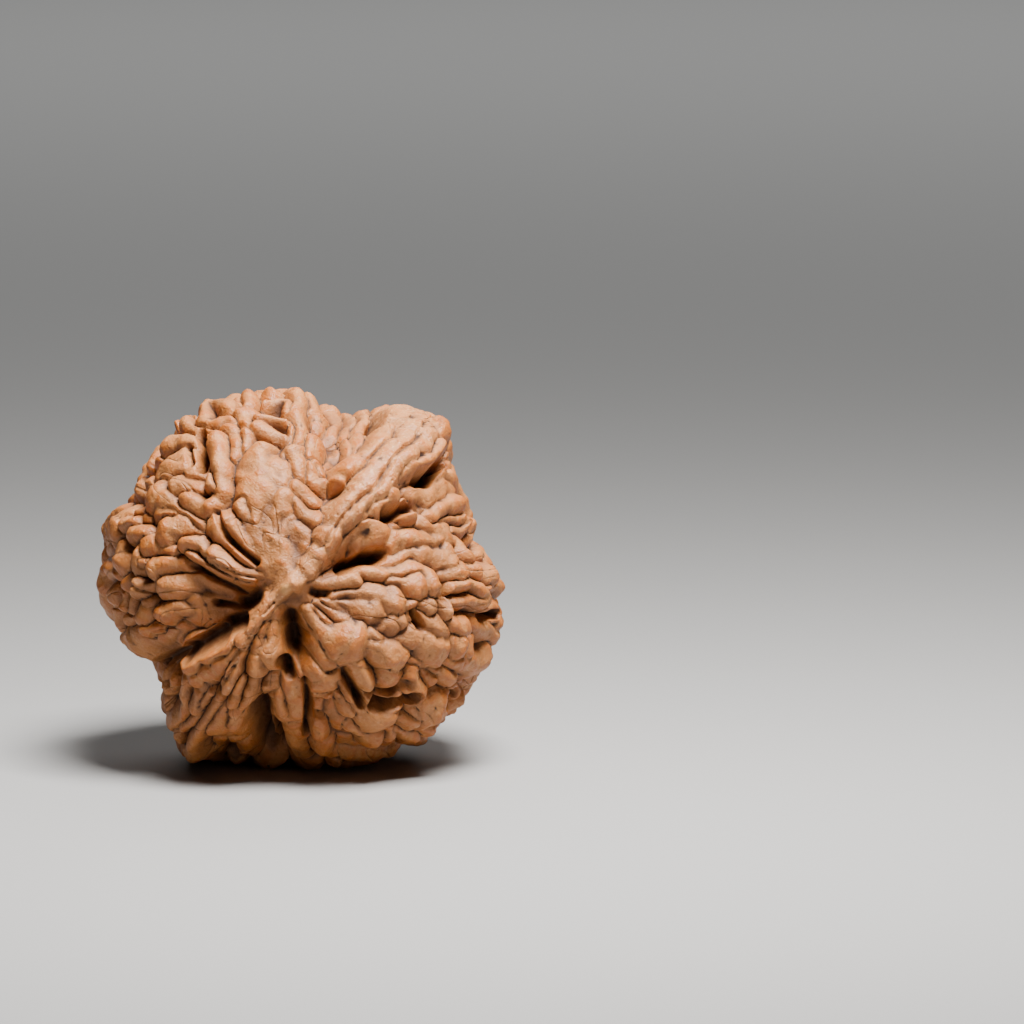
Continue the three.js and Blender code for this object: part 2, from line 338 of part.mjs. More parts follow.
const DENTS = [
  [0.8, 1.0, 8.8, -7.9, 10.2, -7.7],
  [1.2, 0.5, 9.9, -9.2, 11.0, -9.0],
  [2.4, 0.42, -8.0, 14.2, -8.1, 12.8, -7.9, 11.4],
  [1.0, 0.3, -9.3, 13.0, -8.9, 11.6],
  [0.8, 0.7, -11.8, 14.2, -11.0, 13.8],
  [0.9, 0.8, -7.9, 18.1, -7.2, 18.1],
  [1.0, 0.5, -2.0, 18.5, -1.0, 18.3],
  [0.6, 0.6, -13.8, 8.4, -13.6, 7.6],
  [1.2, 0.3, -6.2, 6.9, -5.5, 5.6, -4.4, 4.2, -2.8, 2.5],
  [0.8, 0.4, 2.3, -0.1, 3.4, -0.2],
  [0.4, 0.6, 0.5, 3.4, 0.9, 4.4],
  [1.6, 2.3, -4.6, -1.4, -7.4, -2.2],
  [0.4, 1.4, 6.4, 3.6, 9.2, 4.2],
  [0.7, 1.0, 3.9, 13.8, 4.8, 12.2],
  [0.6, 0.8, 3.4, 8.8, 4.3, 8.6],
  [1.0, 1.4, 0.9, -3.6, 1.0, -6.2],
  [1.2, 1.6, -2.4, -12.0, -2.2, -16.5],
];

// Where the ground between ridges is filled higher, so that they read as plates: [more fill, reach, point].
const PLATES = [
  [1.4, 5.2, -0.6, 8.6],
  [1.2, 4.5, 13.0, 7.2],
  [0.8, 4.2, 9.0, -2.6],
  [0.6, 3.2, -9.5, -1.2],
];

const radians = THREE.MathUtils.degToRad;
const mix = THREE.MathUtils.lerp;

// Everything below works in the nut's own frame: the axis is Y, with the tip at -Y.

// Radius of the body's widest section in a direction round the axis.
function girth(turn) {
  const place = THREE.MathUtils.euclideanModulo(turn / (2 * Math.PI), 1) * GIRTH.length;
  const before = Math.floor(place);
  const share = place - before;
  const ease = share * share * (3 - 2 * share);
  return mix(GIRTH[before % GIRTH.length], GIRTH[(before + 1) % GIRTH.length], ease);
}

// Radius of the body without its relief, in any direction.
function bodyRadius(direction) {
  const across = Math.hypot(direction.x, direction.z) / girth(Math.atan2(direction.z, direction.x));
  const along = Math.abs(direction.y) / (direction.y < 0 ? TIP_REACH : BACK_REACH);
  return (across ** FULLNESS + along ** FULLNESS) ** (-1 / FULLNESS);
}

// Direction from the centre to the point that is seen at (x, z) on the face, at some rise above the body.
function seenAt(x, z, rise) {
  const out = Math.min(Math.hypot(x, z) / (girth(Math.atan2(z, x)) + rise), 0.99);
  const forward = (TIP_REACH + rise) * (1 - out ** FULLNESS) ** (1 / FULLNESS);
  return new THREE.Vector3(x, -forward, z).normalize();
}

// Direction at an angle from the tip and a turn round the axis.
function directionAt(fromTip, turn) {
  const across = Math.sin(fromTip);
  return new THREE.Vector3(across * Math.cos(turn), -Math.cos(fromTip), across * Math.sin(turn));
}

function onBody(direction) {
  return direction.clone().multiplyScalar(bodyRadius(direction));
}

// A stroke is a line over the body, with a height (or depth) and a half-width at each of its points.
function makeStroke(directions, heights, widths, top = ROUND) {
  const last = Math.max(directions.length - 1, 1);
  const points = directions.map((direction, i) => {
    const at = onBody(direction);
    const wave = Math.sin(KNOBS.pitch * (at.x + 1.3 * at.z));
    const swell = wave * Math.sin(KNOBS.pitch * (at.y - 0.7 * at.z) + 1);
    const height = mix(heights[0], heights[1], i / last) * (1 + KNOBS.height * swell);
    const width = mix(widths[0], widths[1], i / last) * (1 + KNOBS.width * swell);
    return { at, height, width };
  });
  return { points, top };
}

// A point of the body shifted a little, so that every line through it wavers.
function waver(point) {
  const shifted = point.clone();
  for (const { size, pitch } of WAVER) {
    shifted.x += size * Math.sin(pitch * (point.y + 0.7 * point.z));
    shifted.y += size * Math.sin(pitch * (point.z + 0.6 * point.x) + 2);
    shifted.z += size * Math.sin(pitch * (point.x + 0.8 * point.y) + 4);
  }
  return shifted;
}

// Smooth line through hand-placed points of the face: x and z in turn.
function faceLine(places, heightAt) {
  const marks = [];
  for (let i = 0; i < places.length; i += 2) marks.push(new THREE.Vector3(places[i], 0, places[i + 1]));
  const curve = new THREE.CatmullRomCurve3(marks, false, "catmullrom", 0.5);
  const count = Math.max(Math.ceil(curve.getLength() / STEP), 1);
  const line = [];
  for (let i = 0; i <= count; i++) {
    const mark = curve.getPoint(i / count);
    line.push(seenAt(mark.x, mark.z, heightAt(i / count)));
  }
  return line;
}

function seamRidge([rootRise, endRise, rootWidth, endWidth, ...places]) {
  const line = faceLine(places, (share) => mix(rootRise, endRise, share));
  return makeStroke(line, [rootRise, endRise], [rootWidth, endWidth], FLAT);
}

function faceRidge([rootRise, endRise, rootWidth, endWidth, ...places]) {
  const line = faceLine(places, (share) => mix(rootRise, endRise, share));
  const ridge = makeStroke(line, [rootRise, endRise], [rootWidth, endWidth]);
  ridge.points.forEach((point, i) => {
    const swell = (i / (line.length - 1)) ** 2;
    point.height += END_RISE * swell;
    point.width *= 1 + END_WIDTH * swell;
  });
  return ridge;
}

function faceDent([depth, width, ...places]) {
  return makeStroke(faceLine(places, () => 0), [depth, depth], [width, width]);
}

function backHollow([depth, width, ...angles]) {
  const [fromTip, turn, endFromTip, endTurn] = angles.map(radians);
  const ends = [directionAt(fromTip, turn), directionAt(endFromTip, endTurn)];
  return makeStroke(ends, [depth, depth], [width, width]);
}

// The seam's two halves, each carried on over the back to the stem end.
function backSeam({ turn, from, to, rises, widths }) {
  const line = [];
  for (let fromTip = from; fromTip <= to; fromTip += 2) {
    const swing = SEAM_SWAY * Math.sin(radians(fromTip * 5 + turn));
    line.push(directionAt(radians(fromTip), radians(turn + swing)));
  }
  return makeStroke(line, rises, widths, FLAT);
}

// Small knobs round the stem scar.
function scarRim() {
  const { reach, rise, width, knobs, halfLength } = SCAR_RIM;
  const fromTip = Math.PI - reach / BACK_REACH;
  return Array.from({ length: knobs }, (_, i) => {
    const turn = 20 + (i * 360) / knobs;
    const ends = [turn - halfLength, turn + halfLength].map((side) => directionAt(fromTip, radians(side)));
    return makeStroke(ends, [rise, rise], [width, width]);
  });
}

function stemScar() {
  const half = STEM_SCAR.length / 2 / BACK_REACH;
  const turn = radians(BACK_SEAM[0].turn);
  const line = [-1, 0, 1].map((side) => directionAt(Math.PI - side * half, turn));
  return makeStroke(line, [STEM_SCAR.depth, STEM_SCAR.depth], [STEM_SCAR.width, STEM_SCAR.width]);
}

// Repeatable draws between 0 and 1.
function makeDraw(seed) {
  let state = seed;
  return () => {
    state = (Math.imul(state, 1664525) + 1013904223) >>> 0;
    return state / 4294967296;
  };
}

// Directions spread evenly over the sphere, taken in a mixed order.
function spreadDirections(count) {
  const stride = Math.round(count * 0.382) * 2 + 1;
  const golden = Math.PI * (3 - Math.sqrt(5));
  const list = [];
  for (let i = 0; i < count; i++) {
    const index = (i * stride) % count;
    const fromTip = Math.acos(1 - (2 * index + 1) / count);
    list.push(directionAt(fromTip, index * golden));
  }
  return list;
}

// A slow wave over the surface, between -1 and 1, that makes neighbouring folds stray alike.
function stray(point) {
  const first = Math.sin(0.33 * point.x + 0.21 * point.y + 0.9);
  const second = Math.sin(0.29 * point.y - 0.37 * point.z + 2.1);
  const third = Math.sin(0.35 * point.z + 0.25 * point.x + 4.0);
  return (first + second + third) / 3;
}

// Course of a fold at a point: away from the tip, turned by an angle.
function courseAt(direction, angle) {
  const away = new THREE.Vector3(0, 1, 0).addScaledVector(direction, -direction.y).normalize();
  const aside = new THREE.Vector3().crossVectors(direction, away);
  return away.multiplyScalar(Math.cos(angle)).addScaledVector(aside, Math.sin(angle));
}

function isFree(point, width, taken) {
  return taken.every((other) => point.distanceTo(other.at) > SPACING * (width + other.width));
}

// Walks from a start one way or the other until the fold is long enough or meets another one.
function walkFold(start, way, fold, taken) {
  const line = [];
  let direction = start;
  for (let gone = STEP; gone <= fold.halfLength; gone += STEP) {
    const at = onBody(direction);
    const angle = WANDER * 3 * stray(at) + fold.turn + way * gone * fold.bend;
    const shift = (way * STEP) / at.length();
    direction = direction.clone().addScaledVector(courseAt(direction, angle), shift).normalize();
    if (!isFree(onBody(direction), fold.width, taken)) break;
    line.push(direction);
  }
  return line;
}

// Share of its full height that a fold has in a direction: less among the ridges of the face.
function riseShare(direction) {
  const fromTip = THREE.MathUtils.radToDeg(Math.acos(-direction.y));
  const share = (fromTip - FACE_END[0]) / (FACE_END[1] - FACE_END[0]);
  return mix(FACE_RISE, 1, THREE.MathUtils.clamp(share, 0, 1));
}

// Lets folds of one kind grow wherever there is room for them.
function growFolds(kind, taken, draw) {
  const grown = [];
  for (const start of spreadDirections(kind.starts)) {
    const fold = {
      width: mix(kind.widths[0], kind.widths[1], draw()),
      rise: mix(kind.rises[0], kind.rises[1], draw()),
      halfLength: mix(kind.halfLengths[0], kind.halfLengths[1], draw()),
      turn: OWN_TURN * (2 * draw() - 1),
      bend: OWN_BEND * (2 * draw() - 1),
    };
    if (!isFree(onBody(start), fold.width, taken)) continue;
    const ahead = walkFold(start, 1, fold, taken);
    const behind = walkFold(start, -1, fold, taken).reverse();
    const line = [...behind, start, ...ahead];
    if ((line.length - 1) * STEP < kind.shortest) continue;
    const rise = fold.rise * riseShare(start);
    const stroke = makeStroke(line, [rise, rise], [fold.width, fold.width], FOLD);
    grown.push(stroke);
    taken.push(...stroke.points);
  }
  return grown;
}

// Every ridge, hollow and dent of the shell.
function makeRelief() {
  const seams = [
    ...SEAM_RIDGES.map(seamRidge),
    ...BACK_SEAM.map(backSeam),
  ];
  const ridges = [...seams, ...RIDGES.map(faceRidge), ...scarRim()];
  const hollows = [...HOLLOWS.map(faceDent), ...BACK_HOLLOWS.map(backHollow)];
  const dents = [...DENTS, ...SEAM_GROOVE].map(faceDent).concat(stemScar());
  const taken = [...ridges, ...hollows, stemScar()].flatMap((stroke) => stroke.points);
  const draw = makeDraw(SEED);
  for (const kind of FOLDS) ridges.push(...growFolds(kind, taken, draw));
  return { ridges, hollows, dents };
}

// Number of a box of space, from its place in the row, the column and the stack of boxes.
function boxKey(x, y, z) {
  return (x + 64) * 16384 + (y + 64) * 128 + (z + 64);
}

// Sorts the straight pieces of some strokes into boxes, so that the ones near a point are found fast.
function sortIntoBoxes(strokes, reachOf) {
  const boxes = new Map();
  for (const stroke of strokes) {
    const { points } = stroke;
    for (let i = 0; i < Math.max(points.length - 1, 1); i++) {
      const piece = { a: points[i], b: points[Math.min(i + 1, points.length - 1)], stroke };
      const reach = reachOf(Math.max(piece.a.width, piece.b.width), stroke);
      const low = piece.a.at.clone().min(piece.b.at).subScalar(reach).divideScalar(BOX).floor();
      const high = piece.a.at.clone().max(piece.b.at).addScalar(reach).divideScalar(BOX).floor();
      for (let x = low.x; x <= high.x; x++)
        for (let y = low.y; y <= high.y; y++)
          for (let z = low.z; z <= high.z; z++) {
            const key = boxKey(x, y, z);
            if (!boxes.has(key)) boxes.set(key, []);
            boxes.get(key).push(piece);
          }
    }
  }
  return boxes;
}

function piecesNear(boxes, point) {
  const [x, y, z] = [point.x, point.y, point.z].map((value) => Math.floor(value / BOX));
  return boxes.get(boxKey(x, y, z)) ?? [];
}

// Distance from a point to a straight piece of a stroke, and the piece's height and half-width there.
function nearestOn({ a, b }, point) {
  const along = new THREE.Vector3().subVectors(b.at, a.at);
  const square = along.lengthSq();
  const offset = new THREE.Vector3().subVectors(point, a.at);
  const share = square > 0 ? THREE.MathUtils.clamp(offset.dot(along) / square, 0, 1) : 0;
  return {
    distance: offset.addScaledVector(along, -share).length(),
    height: mix(a.height, b.height, share),
    width: mix(a.width, b.width, share),
  };
}

// Height of a ridge's section above the body, and below it past its foot.
function ridgeHeight({ distance, height, width }, { power, skirt }) {
  const foot = skirt * width;
  const share = distance / foot;
  if (share < SHOULDER) return height * (1 - share ** power) ** (1 / power);
  const left = 1 - SHOULDER ** power;
  const slope = (height / foot) * SHOULDER ** (power - 1) * left ** (1 / power - 1);
  return height * left ** (1 / power) - slope * (distance - SHOULDER * foot);
}

function dentDepth({ distance, height, width }) {
  const share = distance / (DENT_SPREAD * width);
  return share < 1 ? height * (1 - share * share) ** 2 : 0;
}

// Height that a hollow leaves of what stands round it: deep in its middle, and no limit outside.
function hollowHeight({ distance, height, width }) {
  return (height + HOLLOW.rim) * (distance / (HOLLOW.spread * width)) ** 2 - height;
}

// The highest of several heights, with a soft passage from one to another.
function softHighest(heights, blend) {
  const top = Math.max(...heights);
  const sum = heights.reduce((total, height) => total + Math.exp((height - top) / blend), 0);
  return top + blend * Math.log(sum);
}

// The lower of two heights, with a soft passage between them.
function softLower(one, other, blend) {
  const low = Math.min(one, other);
  return low - blend * Math.log1p(Math.exp((low - Math.max(one, other)) / blend));
}

// Joins the heights of several ridges over the ground, with a crease where the two highest meet.
function joinHeights(heights, fill, nearTip) {
  const ground = softHighest([...heights, fill], BLEND + TIP_BLEND * nearTip);
  if (heights.length < 2) return ground;
  const [first, second] = heights.sort((a, b) => b - a);
  const crease = CREASE.depth * Math.exp(-(((first - second) / CREASE.spread) ** 2));
  return ground - crease * (1 - nearTip);
}

// Height that the ground between ridges is filled to.
function fillAt(point, plates) {
  return plates.reduce(
    (fill, { rise, reach, at }) => fill + rise * Math.exp(-((point.distanceTo(at) / reach) ** 2)),
    FILL,
  );
}

function lumpAt(point) {
  const { x, y, z } = point.clone().multiplyScalar(LUMP.pitch);
  return LUMP.height * Math.sin(x + 0.4 * z + 1) * Math.sin(y + 0.5 * x) * Math.sin(z + 0.3 * y + 2);
}

// Radius of the shell with its relief, as a function of direction.
function makeShell() {
  const { ridges, hollows, dents } = makeRelief();
  const ridgeBoxes = sortIntoBoxes(ridges, (width, { top }) => top.skirt * width + 2 * BLEND);
  const hollowBoxes = sortIntoBoxes(hollows, (width) => HOLLOW.spread * width);
  const dentBoxes = sortIntoBoxes(dents, (width) => DENT_SPREAD * width);
  const tip = new THREE.Vector3(0, -TIP_REACH, 0);
  const plates = PLATES.map(([rise, reach, x, z]) => ({ rise, reach, at: onBody(seenAt(x, z, 0)) }));
  return (direction) => {
    const body = bodyRadius(direction);
    const point = waver(direction.clone().multiplyScalar(body));
    const nearTip = Math.exp(-((point.distanceTo(tip) / TIP_SMOOTH) ** 2));
    const heights = new Map();
    for (const piece of piecesNear(ridgeBoxes, point)) {
      const height = ridgeHeight(nearestOn(piece, point), piece.stroke.top);
      heights.set(piece.stroke, Math.max(height, heights.get(piece.stroke) ?? -Infinity));
    }
    const walls = piecesNear(hollowBoxes, point).map((piece) => hollowHeight(nearestOn(piece, point)));
    const depths = piecesNear(dentBoxes, point).map((piece) => dentDepth(nearestOn(piece, point)));
    const top = joinHeights([...heights.values()], fillAt(point, plates), nearTip) + lumpAt(point);
    const wall = Math.min(...walls) + HOLLOW.kept * top;
    return body + softLower(top, wall, HOLLOW.blend) - Math.max(0, ...depths);
  };
}

// Fine surface of the nut, tilted, and flat where it rests.
function fineSurface() {
  const shell = makeShell();
  const ball = new THREE.IcosahedronGeometry(1, FINE_DETAIL);
  ball.deleteAttribute("normal");
  ball.deleteAttribute("uv");
  const surface = mergeVertices(ball, 1e-5);
  const place = surface.getAttribute("position");
  const direction = new THREE.Vector3();
  for (let i = 0; i < place.count; i++) {
    direction.fromBufferAttribute(place, i).normalize();
    let radius = shell(direction);
    direction.applyAxisAngle(new THREE.Vector3(1, 0, 0), -radians(TILT));
    if (direction.z < 0) radius = Math.min(radius, REST_HEIGHT / -direction.z);
    place.setXYZ(i, direction.x * radius, direction.y * radius, direction.z * radius);
  }
  return surface;
}

// A heap that gives back the cheapest edge first.
class EdgeQueue {
  edges = [];

  push(edge) {
    const { edges } = this;
    let at = edges.push(edge) - 1;
    while (at > 0) {
      const parent = (at - 1) >> 1;
      if (edges[parent].cost <= edge.cost) break;
      edges[at] = edges[parent];
      at = parent;
    }
    edges[at] = edge;
  }

  pop() {
    const { edges } = this;
    const cheapest = edges[0];
    const last = edges.pop();
    if (!edges.length) return cheapest;
    let at = 0;
    for (let child = 1; child < edges.length; child = 2 * at + 1) {
      if (child + 1 < edges.length && edges[child + 1].cost < edges[child].cost) child++;
      if (edges[child].cost >= last.cost) break;
      edges[at] = edges[child];
      at = child;
    }
    edges[at] = last;
    return cheapest;
  }
}

// Sum of squared distances to a set of planes, as the ten numbers of a symmetric 4 x 4 matrix.
class PlaneError {
  terms = new Float64Array(10);

  addPlane({ x, y, z }, w, weight) {
    const row = [x * x, x * y, x * z, x * w, y * y, y * z, y * w, z * z, z * w, w * w];
    row.forEach((term, i) => (this.terms[i] += weight * term));
  }

  add(other) {
    other.terms.forEach((term, i) => (this.terms[i] += term));
  }

  at({ x, y, z }) {
    const [xx, xy, xz, xw, yy, yz, yw, zz, zw, ww] = this.terms;
    const square = xx * x * x + yy * y * y + zz * z * z + 2 * (xy * x * y + xz * x * z + yz * y * z);
    return square + 2 * (xw * x + yw * y + zw * z) + ww;
  }

  lowest() {
    const [xx, xy, xz, xw, yy, yz, yw, zz, zw] = this.terms;
    const matrix = new THREE.Matrix3().set(xx, xy, xz, xy, yy, yz, xz, yz, zz);
    const size = Math.cbrt(Math.abs(matrix.determinant()));
    if (size < 1e-3 * (xx + yy + zz)) return null;
    return new THREE.Vector3(-xw, -yw, -zw).applyMatrix3(matrix.invert());
  }
}

// Thins a closed surface: joins the two ends of an edge into one point, where that changes the shape least.
class Thinner {
  constructor(surface) {
    const place = surface.getAttribute("position");
    const corners = surface.getIndex().array;
    this.points = [];
    for (let i = 0; i < place.count; i++) this.points.push(new THREE.Vector3().fromBufferAttribute(place, i));
    this.errors = this.points.map(() => new PlaneError());
    this.around = this.points.map(() => new Set());
    this.age = this.points.map(() => 0);
    this.faces = [];
    for (let i = 0; i < corners.length; i += 3) this.addFace([...corners.subarray(i, i + 3)]);
    this.count = this.faces.length;
    this.queue = new EdgeQueue();
    this.points.forEach((_, a) => this.neighbours(a).forEach((b) => a < b && this.offer(a, b)));
  }

  addFace(face) {
    const normal = this.normalOf(face, -1, null);
    const area = normal.length() / 2;
    normal.normalize();
    for (const corner of face) {
      this.around[corner].add(this.faces.length);
      this.errors[corner].addPlane(normal, -normal.dot(this.points[face[0]]), area);
    }
    this.faces.push(face);
  }

  // A face's normal, twice its area long, with a point of it moved.
  normalOf(face, moved, target) {
    const [a, b, c] = face.map((corner) => (corner === moved ? target : this.points[corner]));
    return new THREE.Vector3().subVectors(b, a).cross(new THREE.Vector3().subVectors(c, a));
  }

  neighbours(point) {
    const found = new Set();
    for (const face of this.around[point]) this.faces[face].forEach((corner) => found.add(corner));
    found.delete(point);
    return found;
  }

  offer(a, b) {
    const error = new PlaneError();
    error.add(this.errors[a]);
    error.add(this.errors[b]);
    const middle = new THREE.Vector3().lerpVectors(this.points[a], this.points[b], 0.5);
    const choices = [middle, this.points[a], this.points[b]];
    const lowest = error.lowest();
    if (lowest && lowest.distanceTo(middle) < this.points[a].distanceTo(this.points[b])) choices.push(lowest);
    let target = middle;
    for (const choice of choices) if (error.at(choice) < error.at(target)) target = choice;
    const cost = error.at(target) + SHORT_FIRST * this.points[a].distanceToSquared(this.points[b]);
    this.queue.push({ a, b, cost, target: target.clone(), ages: [this.age[a], this.age[b]] });
  }

  // Whether the faces round a point keep their side, their shape and their view of the centre.
  keepsFaces(point, other, target) {
    for (const index of this.around[point]) {
      const face = this.faces[index];
      if (face.includes(other)) continue;
      const before = this.normalOf(face, -1, null);
      const after = this.normalOf(face, point, target);
      if (after.dot(before) < LEAST_TURN * after.length() * before.length()) return false;
      const ends = face.map((corner) => (corner === point ? target : this.points[corner]));
      const longest = Math.max(...ends.map((end, i) => end.distanceToSquared(ends[(i + 1) % 3])));
      if (after.length() < LEAST_SHAPE * longest) return false;
      if (after.dot(ends[0]) <= LEAST_VIEW * after.length()) return false;
    }
    return true;
  }

  join({ a, b, target, ages }) {
    if (this.age[a] !== ages[0] || this.age[b] !== ages[1]) return;
    const next = this.neighbours(b);
    const shared = [...this.neighbours(a)].filter((point) => next.has(point));
    if (shared.length !== 2) return;
    if (!this.keepsFaces(a, b, target) || !this.keepsFaces(b, a, target)) return;
    for (const index of [...this.around[b]]) {
      const face = this.faces[index];
      if (face.includes(a)) {
        face.forEach((corner) => this.around[corner].delete(index));
        this.faces[index] = null;
        this.count -= 1;
      } else {
        face[face.indexOf(b)] = a;
        this.around[a].add(index);
      }
    }
    this.around[b].clear();
    this.points[a] = target;
    this.errors[a].add(this.errors[b]);
    this.age[a] += 1;
    this.age[b] = -1;
    this.neighbours(a).forEach((point) => this.offer(a, point));
  }

  thinTo(faces) {
    while (this.count > faces && this.queue.edges.length) this.join(this.queue.pop());
    return this.faces.filter((face) => face).map((face) => face.map((corner) => this.points[corner]));
  }
}

// The nut's body: its surface thinned, stood on z = 0 and centred.
function shellGeometry() {
  const triangles = new Thinner(fineSurface()).thinTo(FACES);
  const geometry = new THREE.BufferGeometry().setFromPoints(triangles.flat());
  const place = geometry.getAttribute("position");
  for (let i = 0; i < place.count; i++)
    if (place.getZ(i) < RESTING_BAND - REST_HEIGHT) place.setZ(i, -REST_HEIGHT);
  geometry.computeBoundingBox();
  const middle = geometry.boundingBox.getCenter(new THREE.Vector3());
  geometry.translate(-middle.x, -middle.y, REST_HEIGHT);
  const shell = mergeVertices(geometry, 1e-5);
  shell.computeVertexNormals();
  return shell;
}

const shellMaterial = new THREE.MeshStandardMaterial({ color: 0xb98356, roughness: 0.62, metalness: 0 });

const walnut = new THREE.Mesh(shellGeometry(), shellMaterial);
walnut.name = "walnut";

const nut = new THREE.Group();
nut.add(walnut);

export default nut;
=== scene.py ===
"""A walnut in its shell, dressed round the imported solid: relief, fine wrinkles, finish and studio.

Lengths on the nut are in millimetres, as they are measured, and become metres where the mesh is made.
The relief is the one that the solid has, worked out on a much finer surface and finished with wrinkles.
"""

import logging
import math
from dataclasses import dataclass, field
from enum import Enum
from typing import Callable, Iterable, Sequence

import bpy
import numpy as np
from mathutils import Matrix, Vector


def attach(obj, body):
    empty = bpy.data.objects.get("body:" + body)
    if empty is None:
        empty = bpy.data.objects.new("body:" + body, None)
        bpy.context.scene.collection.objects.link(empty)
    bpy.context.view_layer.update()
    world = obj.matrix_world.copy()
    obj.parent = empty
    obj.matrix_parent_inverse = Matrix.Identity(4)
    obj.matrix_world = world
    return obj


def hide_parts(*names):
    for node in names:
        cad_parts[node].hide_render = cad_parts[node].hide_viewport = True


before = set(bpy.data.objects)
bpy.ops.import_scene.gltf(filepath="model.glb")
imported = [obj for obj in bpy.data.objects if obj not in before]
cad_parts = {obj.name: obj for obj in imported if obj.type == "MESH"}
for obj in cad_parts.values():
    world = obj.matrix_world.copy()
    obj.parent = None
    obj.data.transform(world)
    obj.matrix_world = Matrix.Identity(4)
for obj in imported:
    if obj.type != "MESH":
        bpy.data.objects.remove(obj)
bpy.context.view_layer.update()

logging.basicConfig(level=logging.INFO, format="%(message)s")
log = logging.getLogger("walnut")

NODE = "walnut"
MM = 0.001
TINY = 1e-12

Row = Sequence[float]
Pair = tuple[float, float]
Box = tuple[int, int, int]
Color = tuple[float, float, float]


# The body's radius at its widest section, every 15 degrees from the right, anticlockwise seen from
# the tip.
GIRTH = [
    19.5, 17.6, 18.2, 20.4, 19.0, 16.6, 18.2, 18.8, 18.7, 18.0, 17.4, 18.2,
    17.8, 16.7, 15.0, 16.4, 18.4, 17.3, 16.9, 17.6, 18.6, 19.3, 19.2, 19.5,
]

# The relief on the face round the tip, as seen looking straight at the tip. A ridge is [rise at its
# root, rise at its end, half-width at its root, half-width at its end, then points], each point
# being right and up of the tip. Rise is above the body.

# The seam ridge and its flanks: broad and flat-topped, with a groove along it.
SEAM_RIDGES = [
    [2.6, 3.5, 0.5, 1.0, 0, 0, 2.2, 2.4, 4.4, 5.2, 6, 7.4],
    [3.4, 3.6, 1.0, 1.7, 5.4, 6.6, 7.6, 9.5, 10.4, 12.7, 12.6, 15.2, 14.3, 17.4],
    [2.6, 3.4, 0.5, 0.8, 0, 0, -1.5, -1.4, -3.2, -3.2, -4.6, -4.9],
    [2.6, 2.8, 0.6, 0.5, -3.2, -3.6, -4.6, -6.2, -5.4, -8.6, -6.2, -10.4],
]

# The seam's groove: [depth, half-width, then points].
SEAM_GROOVE = [
    [0.55, 0.24, 3.4, 4.0, 6.2, 7.5, 10.4, 12.4, 13.0, 15.8, 15.2, 18.4],
    [0.5, 0.22, -1.2, -1.4, -2.8, -3.6, -4.4, -6.6, -6.2, -9.4, -7.6, -11.6],
]

